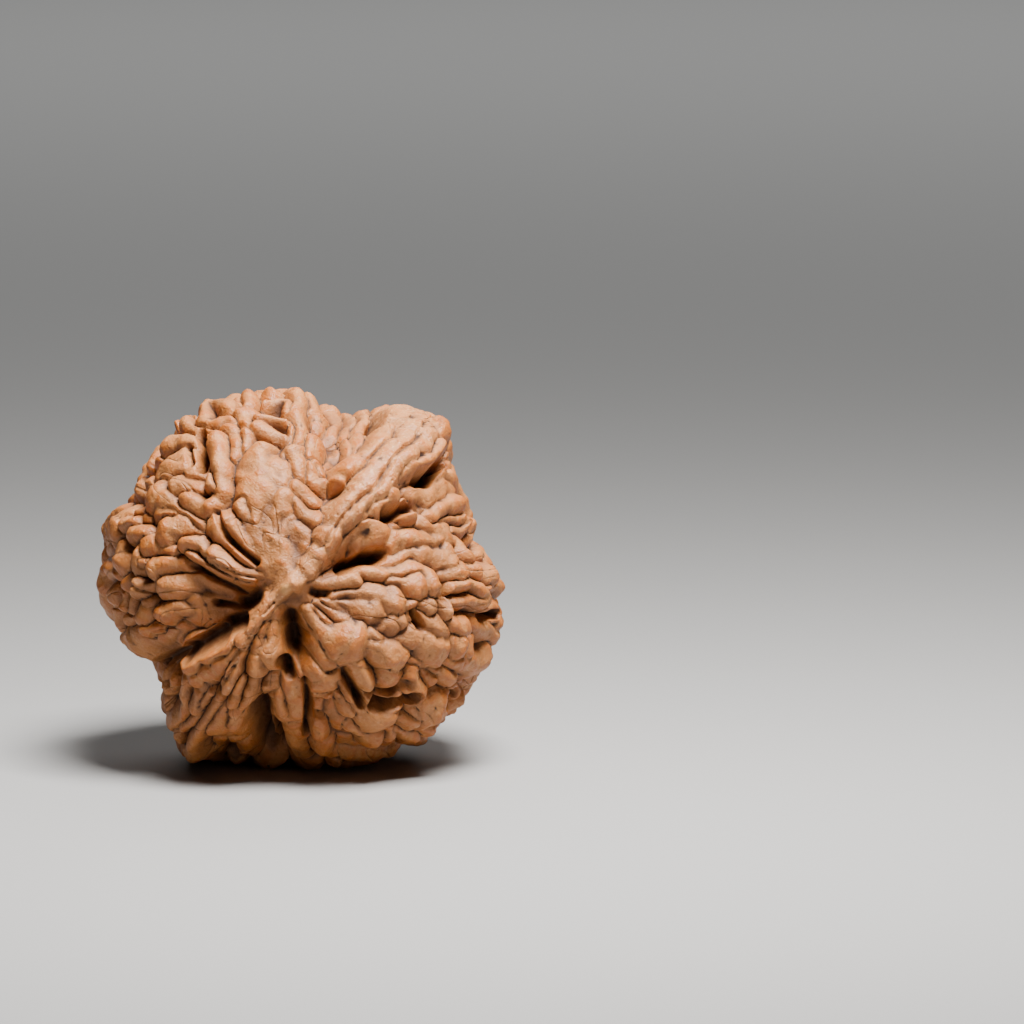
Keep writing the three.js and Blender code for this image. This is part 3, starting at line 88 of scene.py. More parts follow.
# The ridges, clockwise from the upper right.
RIDGES = [
    [2.8, 3.0, 0.6, 0.8, 5.2, 10.9, 6.2, 12.2, 7.4, 13.2],
    [3.0, 3.1, 0.7, 0.8, 8.3, 14.0, 9.8, 15.4, 11.6, 16.9],
    [2.9, 2.9, 0.7, 0.9, 7.6, 7.6, 9.0, 8.8, 10.4, 9.9],
    [3.0, 3.3, 0.5, 0.8, 11.6, 11.6, 12.8, 12.4, 14.4, 13.6, 16.0, 14.5],
    [3.4, 3.6, 0.9, 0.8, 14.2, 16.4, 15.2, 16.9, 15.9, 16.6],
    [3.0, 3.4, 0.9, 0.9, 12.9, 18.2, 14.2, 18.4, 15.3, 17.6],
    [2.0, 2.4, 0.6, 0.9, 5.2, 4.4, 6.8, 5.2, 8.5, 6.3, 9.4, 5.4],
    [2.3, 1.9, 0.9, 0.6, 8.0, 5.2, 10, 4.9, 12.5, 4.9, 14.6, 5.0, 16.2, 5.3],
    [1.3, 1.6, 0.4, 0.5, 8.2, 4.1, 10, 3.9, 11.4, 4.4],
    [1.5, 2.0, 0.7, 0.7, 10.6, 6.2, 12.4, 6.5, 14.4, 6.1, 16.2, 5.5],
    [2.4, 2.6, 0.5, 0.6, 10.8, 8.4, 11.8, 8.3, 12.5, 7.8],
    [1.4, 1.4, 0.4, 0.4, 12.8, 8.4, 14.0, 8.0, 15.0, 8.2],
    [1.6, 2.0, 0.8, 1.0, 12.4, 9.3, 14.2, 9.7, 16.4, 9.9],
    [1.7, 2.2, 0.6, 0.7, 14.4, 11.1, 16.0, 11.3, 16.9, 11.3],
    [2.0, 2.2, 0.5, 0.7, 15.0, 12.9, 16.0, 13.0],
    [2.0, 2.4, 0.6, 0.7, 14.8, 7.7, 16.2, 8.4, 17.4, 8.7],
    [1.6, 2.4, 0.4, 0.5, 15.4, 6.7, 16.8, 6.9, 17.9, 7.3],
    [1.8, 2.5, 0.5, 0.5, 16.8, 5.4, 17.8, 6.0, 18.2, 7.0],
    [2.2, 2.6, 0.5, 0.5, 18.4, 5.2, 18.9, 6.1, 18.8, 6.7],
    [1.6, 2.4, 0.7, 1.0, 10.0, 2.6, 12.0, 3.1, 14.0, 3.4, 16.2, 3.3],
    [2.2, 2.6, 0.5, 0.8, 16.3, 4.8, 17.6, 4.4, 18.3, 3.5],
    [2.2, 2.4, 0.6, 0.8, 15.9, 1.9, 16.8, 1.9, 17.6, 1.7],
    [2.4, 2.6, 0.7, 0.7, 18.7, 1.9, 19.3, 1.9],
    [2.2, 2.6, 0.7, 0.8, 20.1, 1.4, 21.1, 1.3],
    [1.6, 2.6, 0.5, 0.7, 6.4, 1.2, 8.6, 1.6, 10.6, 1.8, 12.8, 1.9, 14.6, 1.3, 15.2, 0.2],
    [2.0, 2.4, 0.6, 0.8, 10.8, 1.0, 12.2, 0.5, 13.5, 0.0],
    [1.9, 1.6, 0.4, 0.6, 0.9, 0.4, 2.4, 0.8, 4.2, 0.9, 6.6, 0.8],
    [2.4, 2.6, 0.4, 0.6, 15.6, -0.3, 17.4, 0.3, 19.4, 0.0, 20.2, -0.6],
    [2.2, 2.6, 0.4, 0.6, 16.2, -1.1, 18.0, -1.7, 19.5, -1.5, 20.3, -0.9],
    [2.2, 2.2, 0.5, 0.6, 20.6, 0.1, 21.7, -0.1],
    [2.0, 2.0, 0.4, 0.5, 21.1, -0.9, 21.8, -0.7],
    [1.5, 2.2, 0.4, 0.9, 3.7, -0.3, 6.0, -0.8, 8.6, -1.0, 10.7, -1.1],
    [1.4, 2.0, 0.4, 0.9, 4.4, -1.2, 6.4, -1.9, 8.4, -2.3],
    [2.0, 2.2, 1.0, 1.0, 9.3, -3.4, 10.4, -3.4],
    [1.9, 2.2, 0.4, 0.45, 11.0, -1.7, 12.9, -1.6],
    [1.7, 2.3, 0.35, 0.4, 3.0, -1.2, 4.6, -2.2, 5.8, -3.4, 7.6, -4.2, 9.4, -5.1],
    [1.7, 2.3, 0.35, 0.4, 2.7, -1.8, 4.3, -3.1, 5.6, -4.1, 7.2, -4.5, 9.0, -5.3],
    [1.6, 1.5, 0.3, 0.35, 3.6, -0.8, 5.6, -2.1, 7.4, -3.5, 9.2, -4.7, 10.8, -5.8, 12.4, -6.7, 14.2, -7.1],
    [1.9, 3.0, 0.4, 1.0, 2.2, -2.1, 3.6, -3.8, 5.2, -5.0, 6.8, -5.9],
    [3.0, 3.0, 1.1, 0.8, 6.8, -6.1, 8.8, -6.1, 10.6, -6.7, 11.6, -7.9, 11.3, -8.8],
    [2.7, 2.7, 0.8, 0.7, 6.9, -7.2, 7.4, -8.6, 8.6, -9.5],
    [1.4, 1.6, 0.3, 0.35, 1.6, -2.7, 2.8, -4.2, 4.2, -5.8, 5.2, -7.0, 5.6, -8.6],
    [1.9, 2.4, 0.6, 0.9, 11.9, -2.9, 13.8, -3.4, 15.6, -4.4],
    [2.3, 2.6, 0.7, 0.9, 16.3, -4.9, 17.6, -6.1],
    [2.1, 2.6, 0.8, 1.1, 10.8, -4.9, 13.0, -5.4, 15.0, -6.1],
    [2.2, 2.4, 0.5, 0.6, 13.7, -1.6, 14.7, -2.0],
    [2.3, 2.4, 0.5, 0.6, 15.7, -1.4, 16.5, -2.1],
    [2.2, 2.6, 0.5, 0.7, 16.1, -2.7, 17.0, -3.7, 18.4, -4.6],
    [2.3, 2.6, 0.7, 0.9, 20.4, -2.0, 21.2, -2.8, 21.8, -3.9],
    [2.0, 2.4, 0.7, 0.8, 19.2, -3.6, 20.3, -4.4, 21.1, -5.3],
    [1.8, 2.2, 0.4, 0.5, 19.1, -4.4, 18.8, -5.6, 18.5, -6.7],
    [2.3, 2.6, 0.6, 0.9, 18.1, -7.2, 19.0, -7.7, 20.0, -7.8],
    [2.0, 2.2, 0.5, 0.5, 20.3, -6.8, 20.9, -6.8],
    [2.2, 2.4, 0.5, 0.6, 15.4, -7.1, 16.4, -7.4, 17.4, -8.1],
    [2.0, 2.6, 0.4, 0.6, 12.2, -7.5, 14.0, -8.0, 15.6, -8.7, 16.7, -9.8],
    [2.3, 2.7, 0.6, 0.7, 12.9, -8.8, 12.9, -10.0, 13.2, -11.0],
    [2.3, 2.4, 0.5, 0.5, 14.1, -8.7, 14.8, -9.4],
    [2.0, 2.2, 0.4, 0.5, 15.9, -10.9, 16.9, -10.2, 17.4, -10.9],
    [2.0, 2.2, 0.5, 0.5, 16.9, -12.3, 17.6, -11.9],
    [1.6, 1.8, 0.6, 0.6, 16.7, -13.4, 17.2, -13.2],
    [2.8, 3.0, 1.1, 1.2, 14.2, -12.2, 15.1, -12.9],
    [2.1, 2.3, 0.35, 0.4, 11.4, -10.7, 12.4, -12.0, 13.1, -12.9],
    [2.2, 2.4, 0.6, 0.7, 9.9, -11.7, 10.8, -12.1],
    [2.4, 2.7, 0.9, 1.0, 7.9, -11.8, 8.8, -12.8, 9.7, -13.7],
    [2.3, 2.5, 0.5, 0.6, 10.9, -13.3, 12.7, -13.9],
    [2.3, 2.4, 0.5, 0.6, 13.5, -14.1, 14.1, -14.9],
    [2.2, 2.3, 0.5, 0.6, 10.4, -14.5, 10.6, -15.5],
    [2.2, 2.3, 0.5, 0.6, 11.2, -14.8, 12.6, -15.7],
    [2.0, 2.3, 0.5, 0.65, 6.7, -14.2, 8.0, -14.9, 9.0, -15.8],
    [2.2, 2.3, 0.4, 0.5, 5.4, -9.7, 6.3, -10.3, 7.2, -11.2],
    [2.0, 2.2, 0.9, 1.0, 3.5, -8.4, 4.1, -9.2],
    [1.6, 1.9, 0.4, 0.45, 3.2, -10.8, 4.2, -11.0],
    [1.7, 1.8, 0.4, 0.5, 4.9, -10.8, 6.0, -11.5, 6.5, -12.7],
    [1.0, 1.0, 0.8, 0.8, 5.2, -12.6, 5.6, -13.1],
    [1.7, 2.1, 0.5, 0.7, 2.8, -4.9, 3.8, -6.0, 4.7, -7.4],
    [1.8, 1.8, 0.5, 0.5, 2.8, -14.0, 3.6, -14.4, 3.4, -15.2],
    [1.8, 1.8, 0.5, 0.5, 4.2, -16.0, 3.7, -16.9],
    [1.9, 2.4, 0.5, 0.9, -0.9, -1.6, -1.1, -3.6, -1.2, -5.6, -1.3, -6.9],
    [2.2, 2.7, 0.5, 0.6, -1.8, -2.6, -2.4, -4.8, -2.8, -7.0, -2.9, -8.6],
    [2.2, 2.2, 0.5, 0.4, -3.0, -8.4, -3.5, -10.4, -4.3, -12.4],
    [1.0, 1.2, 0.28, 0.3, -0.1, -5.8, 0.9, -7.2, 1.9, -8.8],
    [0.9, 1.1, 0.5, 0.5, -1.3, -8.7, -1.7, -10.0],
    [0.9, 1.4, 0.4, 0.4, -1.3, -10.0, -0.7, -11.2, -0.4, -12.5],
    [0.9, 1.5, 0.7, 0.6, 0.6, -9.2, 0.8, -11.0, 1.1, -12.6],
    [0.8, 1.0, 0.5, 0.5, 0.7, -14.2, 0.8, -15.6, 1.1, -17.2],
    [2.0, 2.0, 0.6, 0.6, -5.2, -13.0, -4.9, -14.2],
    [2.0, 2.0, 0.5, 0.5, -3.9, -13.4, -3.7, -14.1],
    [2.9, 3.6, 0.6, 0.9, -2.4, -1.6, -4.5, -3.8, -7.0, -5.8, -9.4, -7.1, -10.4, -7.7],
    [2.6, 3.0, 0.6, 0.9, -4.4, -5.6, -6.0, -6.7, -7.6, -8.0, -9.4, -9.0],
    [2.8, 2.8, 0.7, 0.6, -9.4, -9.0, -10.7, -9.7, -11.0, -11.0, -11.1, -12.6, -12.2, -14.2],
    [2.6, 2.8, 0.5, 0.6, -7.6, -9.0, -9.3, -10.6, -9.9, -12.2],
    [2.6, 2.8, 0.5, 0.6, -7.8, -10.4, -9.2, -12.0, -10.1, -13.7, -11.4, -14.4, -11.6, -15.6],
    [2.6, 2.8, 0.5, 0.6, -6.4, -10.4, -7.7, -12.4, -9.0, -14.3, -10.0, -16.2, -10.4, -17.8],
    [1.8, 2.0, 0.6, 0.8, -6.4, -11.4, -6.6, -12.6, -7.4, -14.4],
    [2.4, 2.4, 0.4, 0.4, -4.4, -9.4, -5.0, -10.4, -5.4, -12.0],
    [1.9, 2.0, 0.6, 0.7, -13.1, -8.7, -13.1, -9.7],
    [1.8, 1.8, 0.4, 0.4, -12.4, -10.0, -12.0, -9.4],
    [1.9, 2.1, 0.5, 0.6, -12.9, -11.1, -12.6, -12.1],
    [2.0, 2.0, 0.5, 0.5, -12.7, -13.6, -12.2, -14.8],
    [2.2, 2.2, 0.5, 0.5, -11.9, -16.0, -11.2, -17.2],
    [1.2, 1.2, 0.5, 0.6, -9.2, -5.5, -7.8, -5.5],
    [1.8, 2.4, 0.4, 0.55, -2.6, 1.4, -4.6, 2.1, -6.2, 2.9, -7.3, 3.6],
    [1.7, 2.5, 0.3, 0.5, -3.6, 1.1, -6.0, 2.0, -7.6, 3.2, -8.7, 4.7, -10.6, 4.5],
    [1.6, 1.9, 0.3, 0.35, -4.0, 0.7, -6.4, 1.5, -8.2, 2.4, -9.7, 3.5],
    [2.2, 2.6, 0.7, 0.9, -9.3, 5.7, -11.0, 6.3, -12.6, 5.9],
    [2.2, 2.8, 0.6, 1.0, -8.9, 6.5, -10.6, 7.6, -12.2, 8.5, -13.6, 9.4],
    [2.4, 2.5, 0.6, 0.8, -11.8, 7.5, -13.4, 7.8],
    [0.2, 1.8, 0.5, 0.8, -6.6, -0.6, -8.6, -0.7, -10.6, -0.4, -12.4, 0.2],
    [2.2, 2.4, 0.4, 0.5, -13.5, 0.5, -14.8, 0.3, -15.7, 0.6],
    [2.4, 2.5, 0.5, 0.5, -15.2, -0.6, -15.9, -0.2],
    [0.2, 1.6, 0.6, 0.9, -5.8, -2.4, -7.8, -2.1, -9.4, -2.4],
    [1.7, 2.2, 0.5, 0.6, -10.4, -2.6, -11.8, -2.3, -12.9, -2.9],
    [0.2, 2.2, 0.7, 1.2, -7.0, -4.2, -9.6, -4.5, -12.4, -4.7, -14.6, -5.6, -15.6, -6.2],
    [2.4, 2.4, 0.5, 0.5, -13.8, -4.4, -14.6, -4.7],
    [2.2, 2.4, 0.6, 0.7, -11.8, 3.7, -13.2, 4.3, -14.6, 4.3],
    [2.3, 2.3, 0.8, 0.8, -15.3, 3.6, -15.6, 2.6],
    [1.7, 2.3, 0.6, 0.65, -10.6, 2.5, -12.0, 2.4, -13.6, 2.0],
    [2.2, 2.2, 0.35, 0.35, -13.9, 2.9, -15.0, 2.6],
    [2.6, 2.8, 1.1, 1.1, -17.5, 7.3, -18.1, 6.7],
    [2.7, 2.7, 0.5, 0.5, -15.9, 6.9, -17.1, 6.6],
    [2.4, 2.4, 0.6, 0.6, -14.8, 5.7, -16.0, 5.6],
    [2.2, 2.4, 0.9, 1.0, -17.6, 4.1, -17.7, 3.0],
    [2.3, 2.3, 0.5, 0.6, -18.1, 1.5, -19.1, 1.8],
    [2.0, 2.0, 0.6, 0.7, -18.3, -0.2, -18.3, -1.3],
    [2.2, 2.2, 0.7, 0.7, -18.0, -2.6, -17.8, -3.7],
    [2.0, 2.0, 0.45, 0.45, -16.9, -5.0, -17.4, -5.4],
    [2.0, 2.0, 0.45, 0.5, -16.5, 1.2, -17.0, 0.5],
    [2.0, 2.0, 0.4, 0.45, -17.2, -0.5, -17.1, -2.0],
    [2.0, 2.0, 0.4, 0.45, -16.2, -0.9, -16.1, -2.5],
    [2.0, 2.2, 0.7, 0.7, -14.6, -1.6, -14.9, -3.3],
    [2.1, 2.1, 0.45, 0.5, -15.9, -3.2, -16.6, -3.5],
    [2.2, 2.2, 0.6, 0.7, -15.2, 9.0, -15.4, 8.0],
    [2.1, 2.1, 0.5, 0.6, -15.4, 11.5, -15.7, 10.7],
    [2.2, 2.2, 0.5, 0.6, -14.1, 10.1, -14.6, 10.8],
    [2.1, 2.1, 0.4, 0.5, -13.7, 7.0, -14.5, 7.2],
    [1.7, 2.4, 0.4, 0.95, -3.4, 2.7, -4.6, 3.8, -5.8, 5.2, -6.7, 6.7],
    [1.7, 2.2, 0.35, 0.5, -2.6, 2.9, -3.6, 4.3, -4.5, 5.6, -5.2, 6.5],
    [2.6, 2.7, 0.6, 0.6, -7.2, 9.6, -6.9, 11.2, -6.8, 12.8, -7.2, 14.4, -7.7, 15.3],
    [2.6, 2.6, 0.7, 0.7, -7.3, 9.6, -7.9, 8.6, -9.1, 8.3, -10.3, 9.0],
    [2.4, 2.4, 0.4, 0.4, -7.9, 12.0, -7.9, 10.7],
    [2.3, 2.4, 0.9, 0.9, -9.8, 10.4, -11.4, 10.6],
    [2.2, 2.3, 1.3, 1.4, -10.0, 12.2, -11.2, 13.0, -12.0, 12.6],
    [2.3, 2.5, 0.6, 0.7, -8.7, 15.2, -10.6, 15.4, -12.4, 15.0],
    [2.2, 2.2, 0.5, 0.6, -12.4, 14.4, -13.2, 13.6],
    [2.0, 2.2, 0.4, 0.45, -12.9, 15.4, -13.9, 13.9, -14.4, 13.0],
    [2.3, 2.4, 0.5, 0.5, -7.9, 15.9, -9.6, 16.4, -11.2, 16.9],
    [2.3, 2.3, 0.4, 0.4, -10.2, 17.3, -11.6, 17.5, -12.1, 16.6],
    [2.6, 2.6, 0.6, 0.6, -6.1, 17.4, -8.4, 17.1, -9.3, 18.0, -8.7, 19.0, -7.2, 19.2, -6.2, 18.4],
    [2.2, 2.2, 0.7, 0.8, -4.4, 16.9, -4.5, 18.1],
    [2.2, 2.2, 0.5, 0.6, -4.6, 19.2, -4.4, 20.0],
    [2.0, 2.0, 0.5, 0.5, -5.6, 19.6, -5.9, 19.0],
    [2.1, 2.1, 0.5, 0.6, -5.3, 13.8, -5.8, 15.2, -6.3, 16.2],
    [2.1, 2.1, 0.55, 0.6, -4.5, 14.5, -4.6, 15.7],
    [1.4, 1.4, 1.1, 1.1, -0.8, -0.5, 0.8, 0.8],
    [3.1, 3.1, 0.35, 0.35, -0.3, -0.2, 0.4, 0.3],
    [2.0, 1.9, 0.7, 1.9, 0.0, 0.6, -0.2, 2.2, -0.6, 4.4],
    [1.9, 1.9, 0.9, 1.0, 0.6, 3.0, 1.6, 5.4],
    [1.9, 2.2, 0.8, 1.3, -1.8, 3.4, -2.8, 6.4, -3.2, 9.0, -3.0, 11.4],
    [2.2, 2.2, 1.2, 0.8, -3.1, 10.6, -2.9, 12.4, -2.7, 14.2],
    [1.7, 1.9, 0.7, 1.1, -1.2, 4.6, -1.7, 7.0, -1.8, 9.6, -1.5, 12.0],
    [1.8, 2.2, 0.4, 0.5, -2.3, 4.4, -3.1, 5.9, -4.0, 7.2, -4.8, 8.8],
    [1.8, 2.2, 0.8, 0.75, -0.8, 5.6, -0.8, 7.6, -0.6, 9.2],
    [1.9, 2.0, 0.5, 0.5, 0.7, 9.0, 1.8, 7.8, 3.2, 7.1],
    [1.8, 2.0, 0.5, 0.5, 2.5, 9.0, 1.6, 9.7, 0.7, 10.5],
    [2.0, 2.2, 0.6, 0.7, 1.2, 11.8, 1.3, 13.2, 0.9, 14.4],
    [1.7, 1.9, 0.5, 0.5, 3.9, 10.4, 2.6, 11.0, 2.5, 12.4],
    [1.7, 1.9, 0.4, 0.4, 3.5, 11.6, 3.0, 12.6],
    [2.2, 2.2, 0.6, 0.65, 2.6, 13.9, 2.6, 15.3],
    [1.6, 1.8, 0.3, 0.3, -0.6, 11.6, -0.2, 13.4, 0.0, 15.6, 0.3, 17.6],
    [2.2, 2.3, 0.5, 0.6, 1.0, 15.4, 1.3, 16.6, 1.0, 17.7],
    [2.2, 2.2, 0.6, 0.7, -0.6, 15.9, -1.9, 16.3, -3.2, 16.7],
    [2.4, 2.4, 0.35, 0.35, -0.3, 17.3, -1.8, 17.7, -3.1, 17.8],
    [2.4, 2.4, 0.35, 0.35, 0.0, 18.2, -0.3, 19.1, -1.4, 19.4, -2.6, 19.3],
    [2.4, 2.6, 0.6, 0.7, -0.9, 20.1, -1.9, 20.3],
    [2.4, 2.6, 0.7, 0.7, 0.7, 18.6, 0.5, 20.4],
    [2.2, 2.4, 0.7, 0.7, 2.3, 18.4, 1.9, 19.6],
    [1.5, 1.9, 0.6, 0.6, 3.1, 16.4, 3.0, 17.3],
    [0.6, 1.7, 0.5, 0.55, 4.2, 12.4, 4.3, 15.0, 4.4, 17.8],
    [0.6, 1.7, 0.5, 0.55, 5.7, 13.2, 5.8, 15.5, 5.9, 17.9],
    [0.8, 1.6, 0.5, 0.5, 6.9, 14.0, 7.1, 16.0, 7.2, 17.7],
    [0.9, 1.6, 0.4, 0.45, 8.8, 15.6, 8.7, 17.4],
    [1.8, 2.2, 0.5, 0.55, 10.0, 17.0, 9.7, 18.0],
    [2.2, 2.4, 0.5, 0.5, 10.4, 18.6, 11.6, 18.7],
]

# Hollows cut right through the ridges, dents only sink them: [depth, half-width, then points].
HOLLOWS = [
    [1.6, 0.55, 5.0, 1.9, 7.0, 2.5, 9.0, 3.4],
    [0.8, 0.5, 8.8, 6.9, 9.8, 7.1, 11.4, 7.2],
    [2.0, 0.55, 11.9, 9.9, 13.4, 10.9, 14.9, 12.2],
    [1.6, 0.55, 0.6, -2.8, 0.8, -4.0],
    [2.0, 0.8, 0.9, -4.4, 1.0, -5.6],
    [1.8, 0.55, 0.0, -7.0, 0.4, -8.2],
    [1.3, 0.8, -3.5, -0.7, -4.8, -1.1],
    [0.6, 0.4, -4.6, -0.3, -6.6, 0.7, -8.6, 1.8],
    [0.5, 0.4, -5.0, -1.5, -7.4, -1.4],
    [1.7, 0.7, -4.2, -2.7, -6.0, -3.6],
    [1.4, 0.7, -6.0, -4.0, -9.0, -5.6],
    [1.1, 0.45, -9.0, -5.5, -12.4, -7.2],
    [1.8, 0.5, -11.8, -8.6, -12.0, -10.4],
    [2.6, 0.9, -2.5, -11.4, -2.7, -14.0, -2.4, -16.4],
    [2.2, 0.6, -6.2, -15.4, -5.8, -17.4],
    [1.9, 0.6, -1.2, -13.6, -0.8, -16.4],
    [1.7, 0.4, 1.9, -8.6, 2.1, -11.0, 2.0, -14.4],
    [1.2, 0.4, 5.4, -7.4, 6.0, -8.8, 6.9, -10.3],
    [1.6, 0.5, 8.2, -10.4, 9.8, -10.5, 11.4, -10.0],
    [1.6, 0.5, 14.2, -10.4, 15.4, -9.7],
    [1.2, 0.4, 14.5, 0.4, 14.6, -0.8],
    [1.0, 0.4, 11.4, -2.4, 11.8, -3.6],
    [1.0, 0.4, 17.8, -2.6, 19.0, -2.6],
    [1.8, 0.5, 8.0, 16.6, 8.1, 14.8],
]

# Hollows over the sides and the back: depth, half-width, then each end's angle from the tip and its
# turn round the axis.
BACK_HOLLOWS = [
    [1.8, 0.8, 98, 72, 112, 66],
    [1.5, 0.7, 120, 100, 132, 112],
    [1.7, 0.8, 104, 148, 118, 158],
    [1.3, 0.7, 138, 188, 150, 200],
    [1.8, 0.9, 98, 214, 112, 222],
    [1.5, 0.7, 124, 264, 137, 256],
    [1.7, 0.8, 98, 298, 110, 310],
    [1.5, 0.8, 128, 330, 140, 340],
    [1.7, 0.8, 102, 18, 116, 26],
    [1.2, 0.6, 148, 88, 158, 96],
]

DENTS = [
    [0.8, 1.0, 8.8, -7.9, 10.2, -7.7],
    [1.2, 0.5, 9.9, -9.2, 11.0, -9.0],
    [2.4, 0.42, -8.0, 14.2, -8.1, 12.8, -7.9, 11.4],
    [1.0, 0.3, -9.3, 13.0, -8.9, 11.6],
    [0.8, 0.7, -11.8, 14.2, -11.0, 13.8],
    [0.9, 0.8, -7.9, 18.1, -7.2, 18.1],
    [1.0, 0.5, -2.0, 18.5, -1.0, 18.3],
    [0.6, 0.6, -13.8, 8.4, -13.6, 7.6],
    [1.2, 0.3, -6.2, 6.9, -5.5, 5.6, -4.4, 4.2, -2.8, 2.5],
    [0.8, 0.4, 2.3, -0.1, 3.4, -0.2],
    [0.4, 0.6, 0.5, 3.4, 0.9, 4.4],
    [1.6, 2.3, -4.6, -1.4, -7.4, -2.2],
    [0.4, 1.4, 6.4, 3.6, 9.2, 4.2],
    [0.7, 1.0, 3.9, 13.8, 4.8, 12.2],
    [0.6, 0.8, 3.4, 8.8, 4.3, 8.6],
    [1.0, 1.4, 0.9, -3.6, 1.0, -6.2],
    [1.2, 1.6, -2.4, -12.0, -2.2, -16.5],
]

# Where the ground between ridges is filled higher, so that they read as plates: [more fill, reach,
# point].
PLATES = [
    [1.4, 5.2, -0.6, 8.6],
    [1.2, 4.5, 13.0, 7.2],
    [0.8, 4.2, 9.0, -2.6],
    [0.6, 3.2, -9.5, -1.2],
]


class Top(Enum):
    """A ridge's section: the power of its superellipse, and its foot as a share of its half-width."""

    ROUND = (1.8, 2.0)
    FOLD = (1.8, 1.7)
    FLAT = (3.6, 1.35)

    @property
    def power(self) -> float:
        """How full the section is."""
        return self.value[0]

    @property
    def skirt(self) -> float:
        """Its foot, as a share of the half-width."""
        return self.value[1]


def between(ends: Row, share: float | np.ndarray) -> float | np.ndarray:
    """What is a share of the way from one end to the other."""
    return ends[0] + (ends[1] - ends[0]) * share


@dataclass
class Body:
    """The nut without its relief, in its own frame: the axis is Y, with the tip at -Y."""

    girth: np.ndarray = field(default_factory=lambda: np.array(GIRTH))
    tip_reach: float = 17.2
    back_reach: float = 15.4
    fullness: float = 2.25
    tilt: float = 8.0
    rest_height: float = 18.3
    face_edge: float = 0.99

    def girth_at(self, turn: np.ndarray) -> np.ndarray:
        """Radius of the widest section, in directions round the axis.

        Args:
            turn: angles from the right, anticlockwise seen from the tip, in radians.

        Returns:
            The radii.
        """
        count = len(self.girth)
        place = np.mod(turn / (2 * math.pi), 1.0) * count
        before = np.floor(place).astype(int)
        share = place - before
        ease = share * share * (3 - 2 * share)
        return between((self.girth[before % count], self.girth[(before + 1) % count]), ease)

    def radius(self, directions: np.ndarray) -> np.ndarray:
        """Radius of the body.

        Args:
            directions: unit vectors.

        Returns:
            The radius in each direction.
        """
        x, y, z = directions[..., 0], directions[..., 1], directions[..., 2]
        across = np.hypot(x, z) / self.girth_at(np.arctan2(z, x))
        along = np.abs(y) / np.where(y < 0, self.tip_reach, self.back_reach)
        return (across ** self.fullness + along ** self.fullness) ** (-1 / self.fullness)

    def point(self, direction: np.ndarray) -> np.ndarray:
        """Point of the body in each direction."""
        return direction * self.radius(direction)[..., None]

    def seen_at(self, x: float, z: float, rise: float) -> np.ndarray:
        """Direction to what is seen at a place of the face round the tip.

        Args:
            x: to the right of the tip.
            z: above the tip.
            rise: above the body.

        Returns:
            A unit vector.
        """
        reach = float(self.girth_at(np.array(math.atan2(z, x)))) + rise
        out = min(math.hypot(x, z) / reach, self.face_edge)
        forward = (self.tip_reach + rise) * (1 - out ** self.fullness) ** (1 / self.fullness)
        seen = np.array([x, -forward, z])
        return seen / np.linalg.norm(seen)


def direction_at(from_tip: float, turn: float) -> np.ndarray:
    """Direction at an angle from the tip and a turn round the axis, both in radians."""
    across = math.sin(from_tip)
    return np.array([across * math.cos(turn), -math.cos(from_tip), across * math.sin(turn)])


@dataclass
class Stroke:
    """A line over the body, with a height or depth and a half-width at each of its points."""

    at: np.ndarray
    heights: np.ndarray
    widths: np.ndarray
    top: Top = Top.ROUND

    def pieces(self) -> Iterable[tuple[int, int]]:
        """Index pairs of the straight pieces that the line is made of."""
        last = len(self.at) - 1
        return [(i, min(i + 1, last)) for i in range(max(last, 1))]


@dataclass(frozen=True)
class SeamHalf:
    """One half of the seam over the back: its turn round the axis and its run, in degrees."""

    turn: int
    start: int
    end: int
    rises: Pair
    widths: Pair
    step: int = 2
    sway: float = 4
    sways: int = 5


@dataclass(frozen=True)
class StemScar:
    """The scar at the stem end and the knobs round it."""

    depth: float = 1.6
    width: float = 1.1
    length: float = 3.2
    rim_reach: float = 3.3
    rim_rise: float = 2.0
    rim_width: float = 0.75
    rim_knobs: int = 8
    rim_start: float = 20
    rim_half_length: float = 12


BACK_SEAM = (
    SeamHalf(51, 64, 170, (3.3, 1.9), (1.9, 0.9)),
    SeamHalf(238, 84, 170, (2.5, 1.9), (1.15, 0.8)),
)


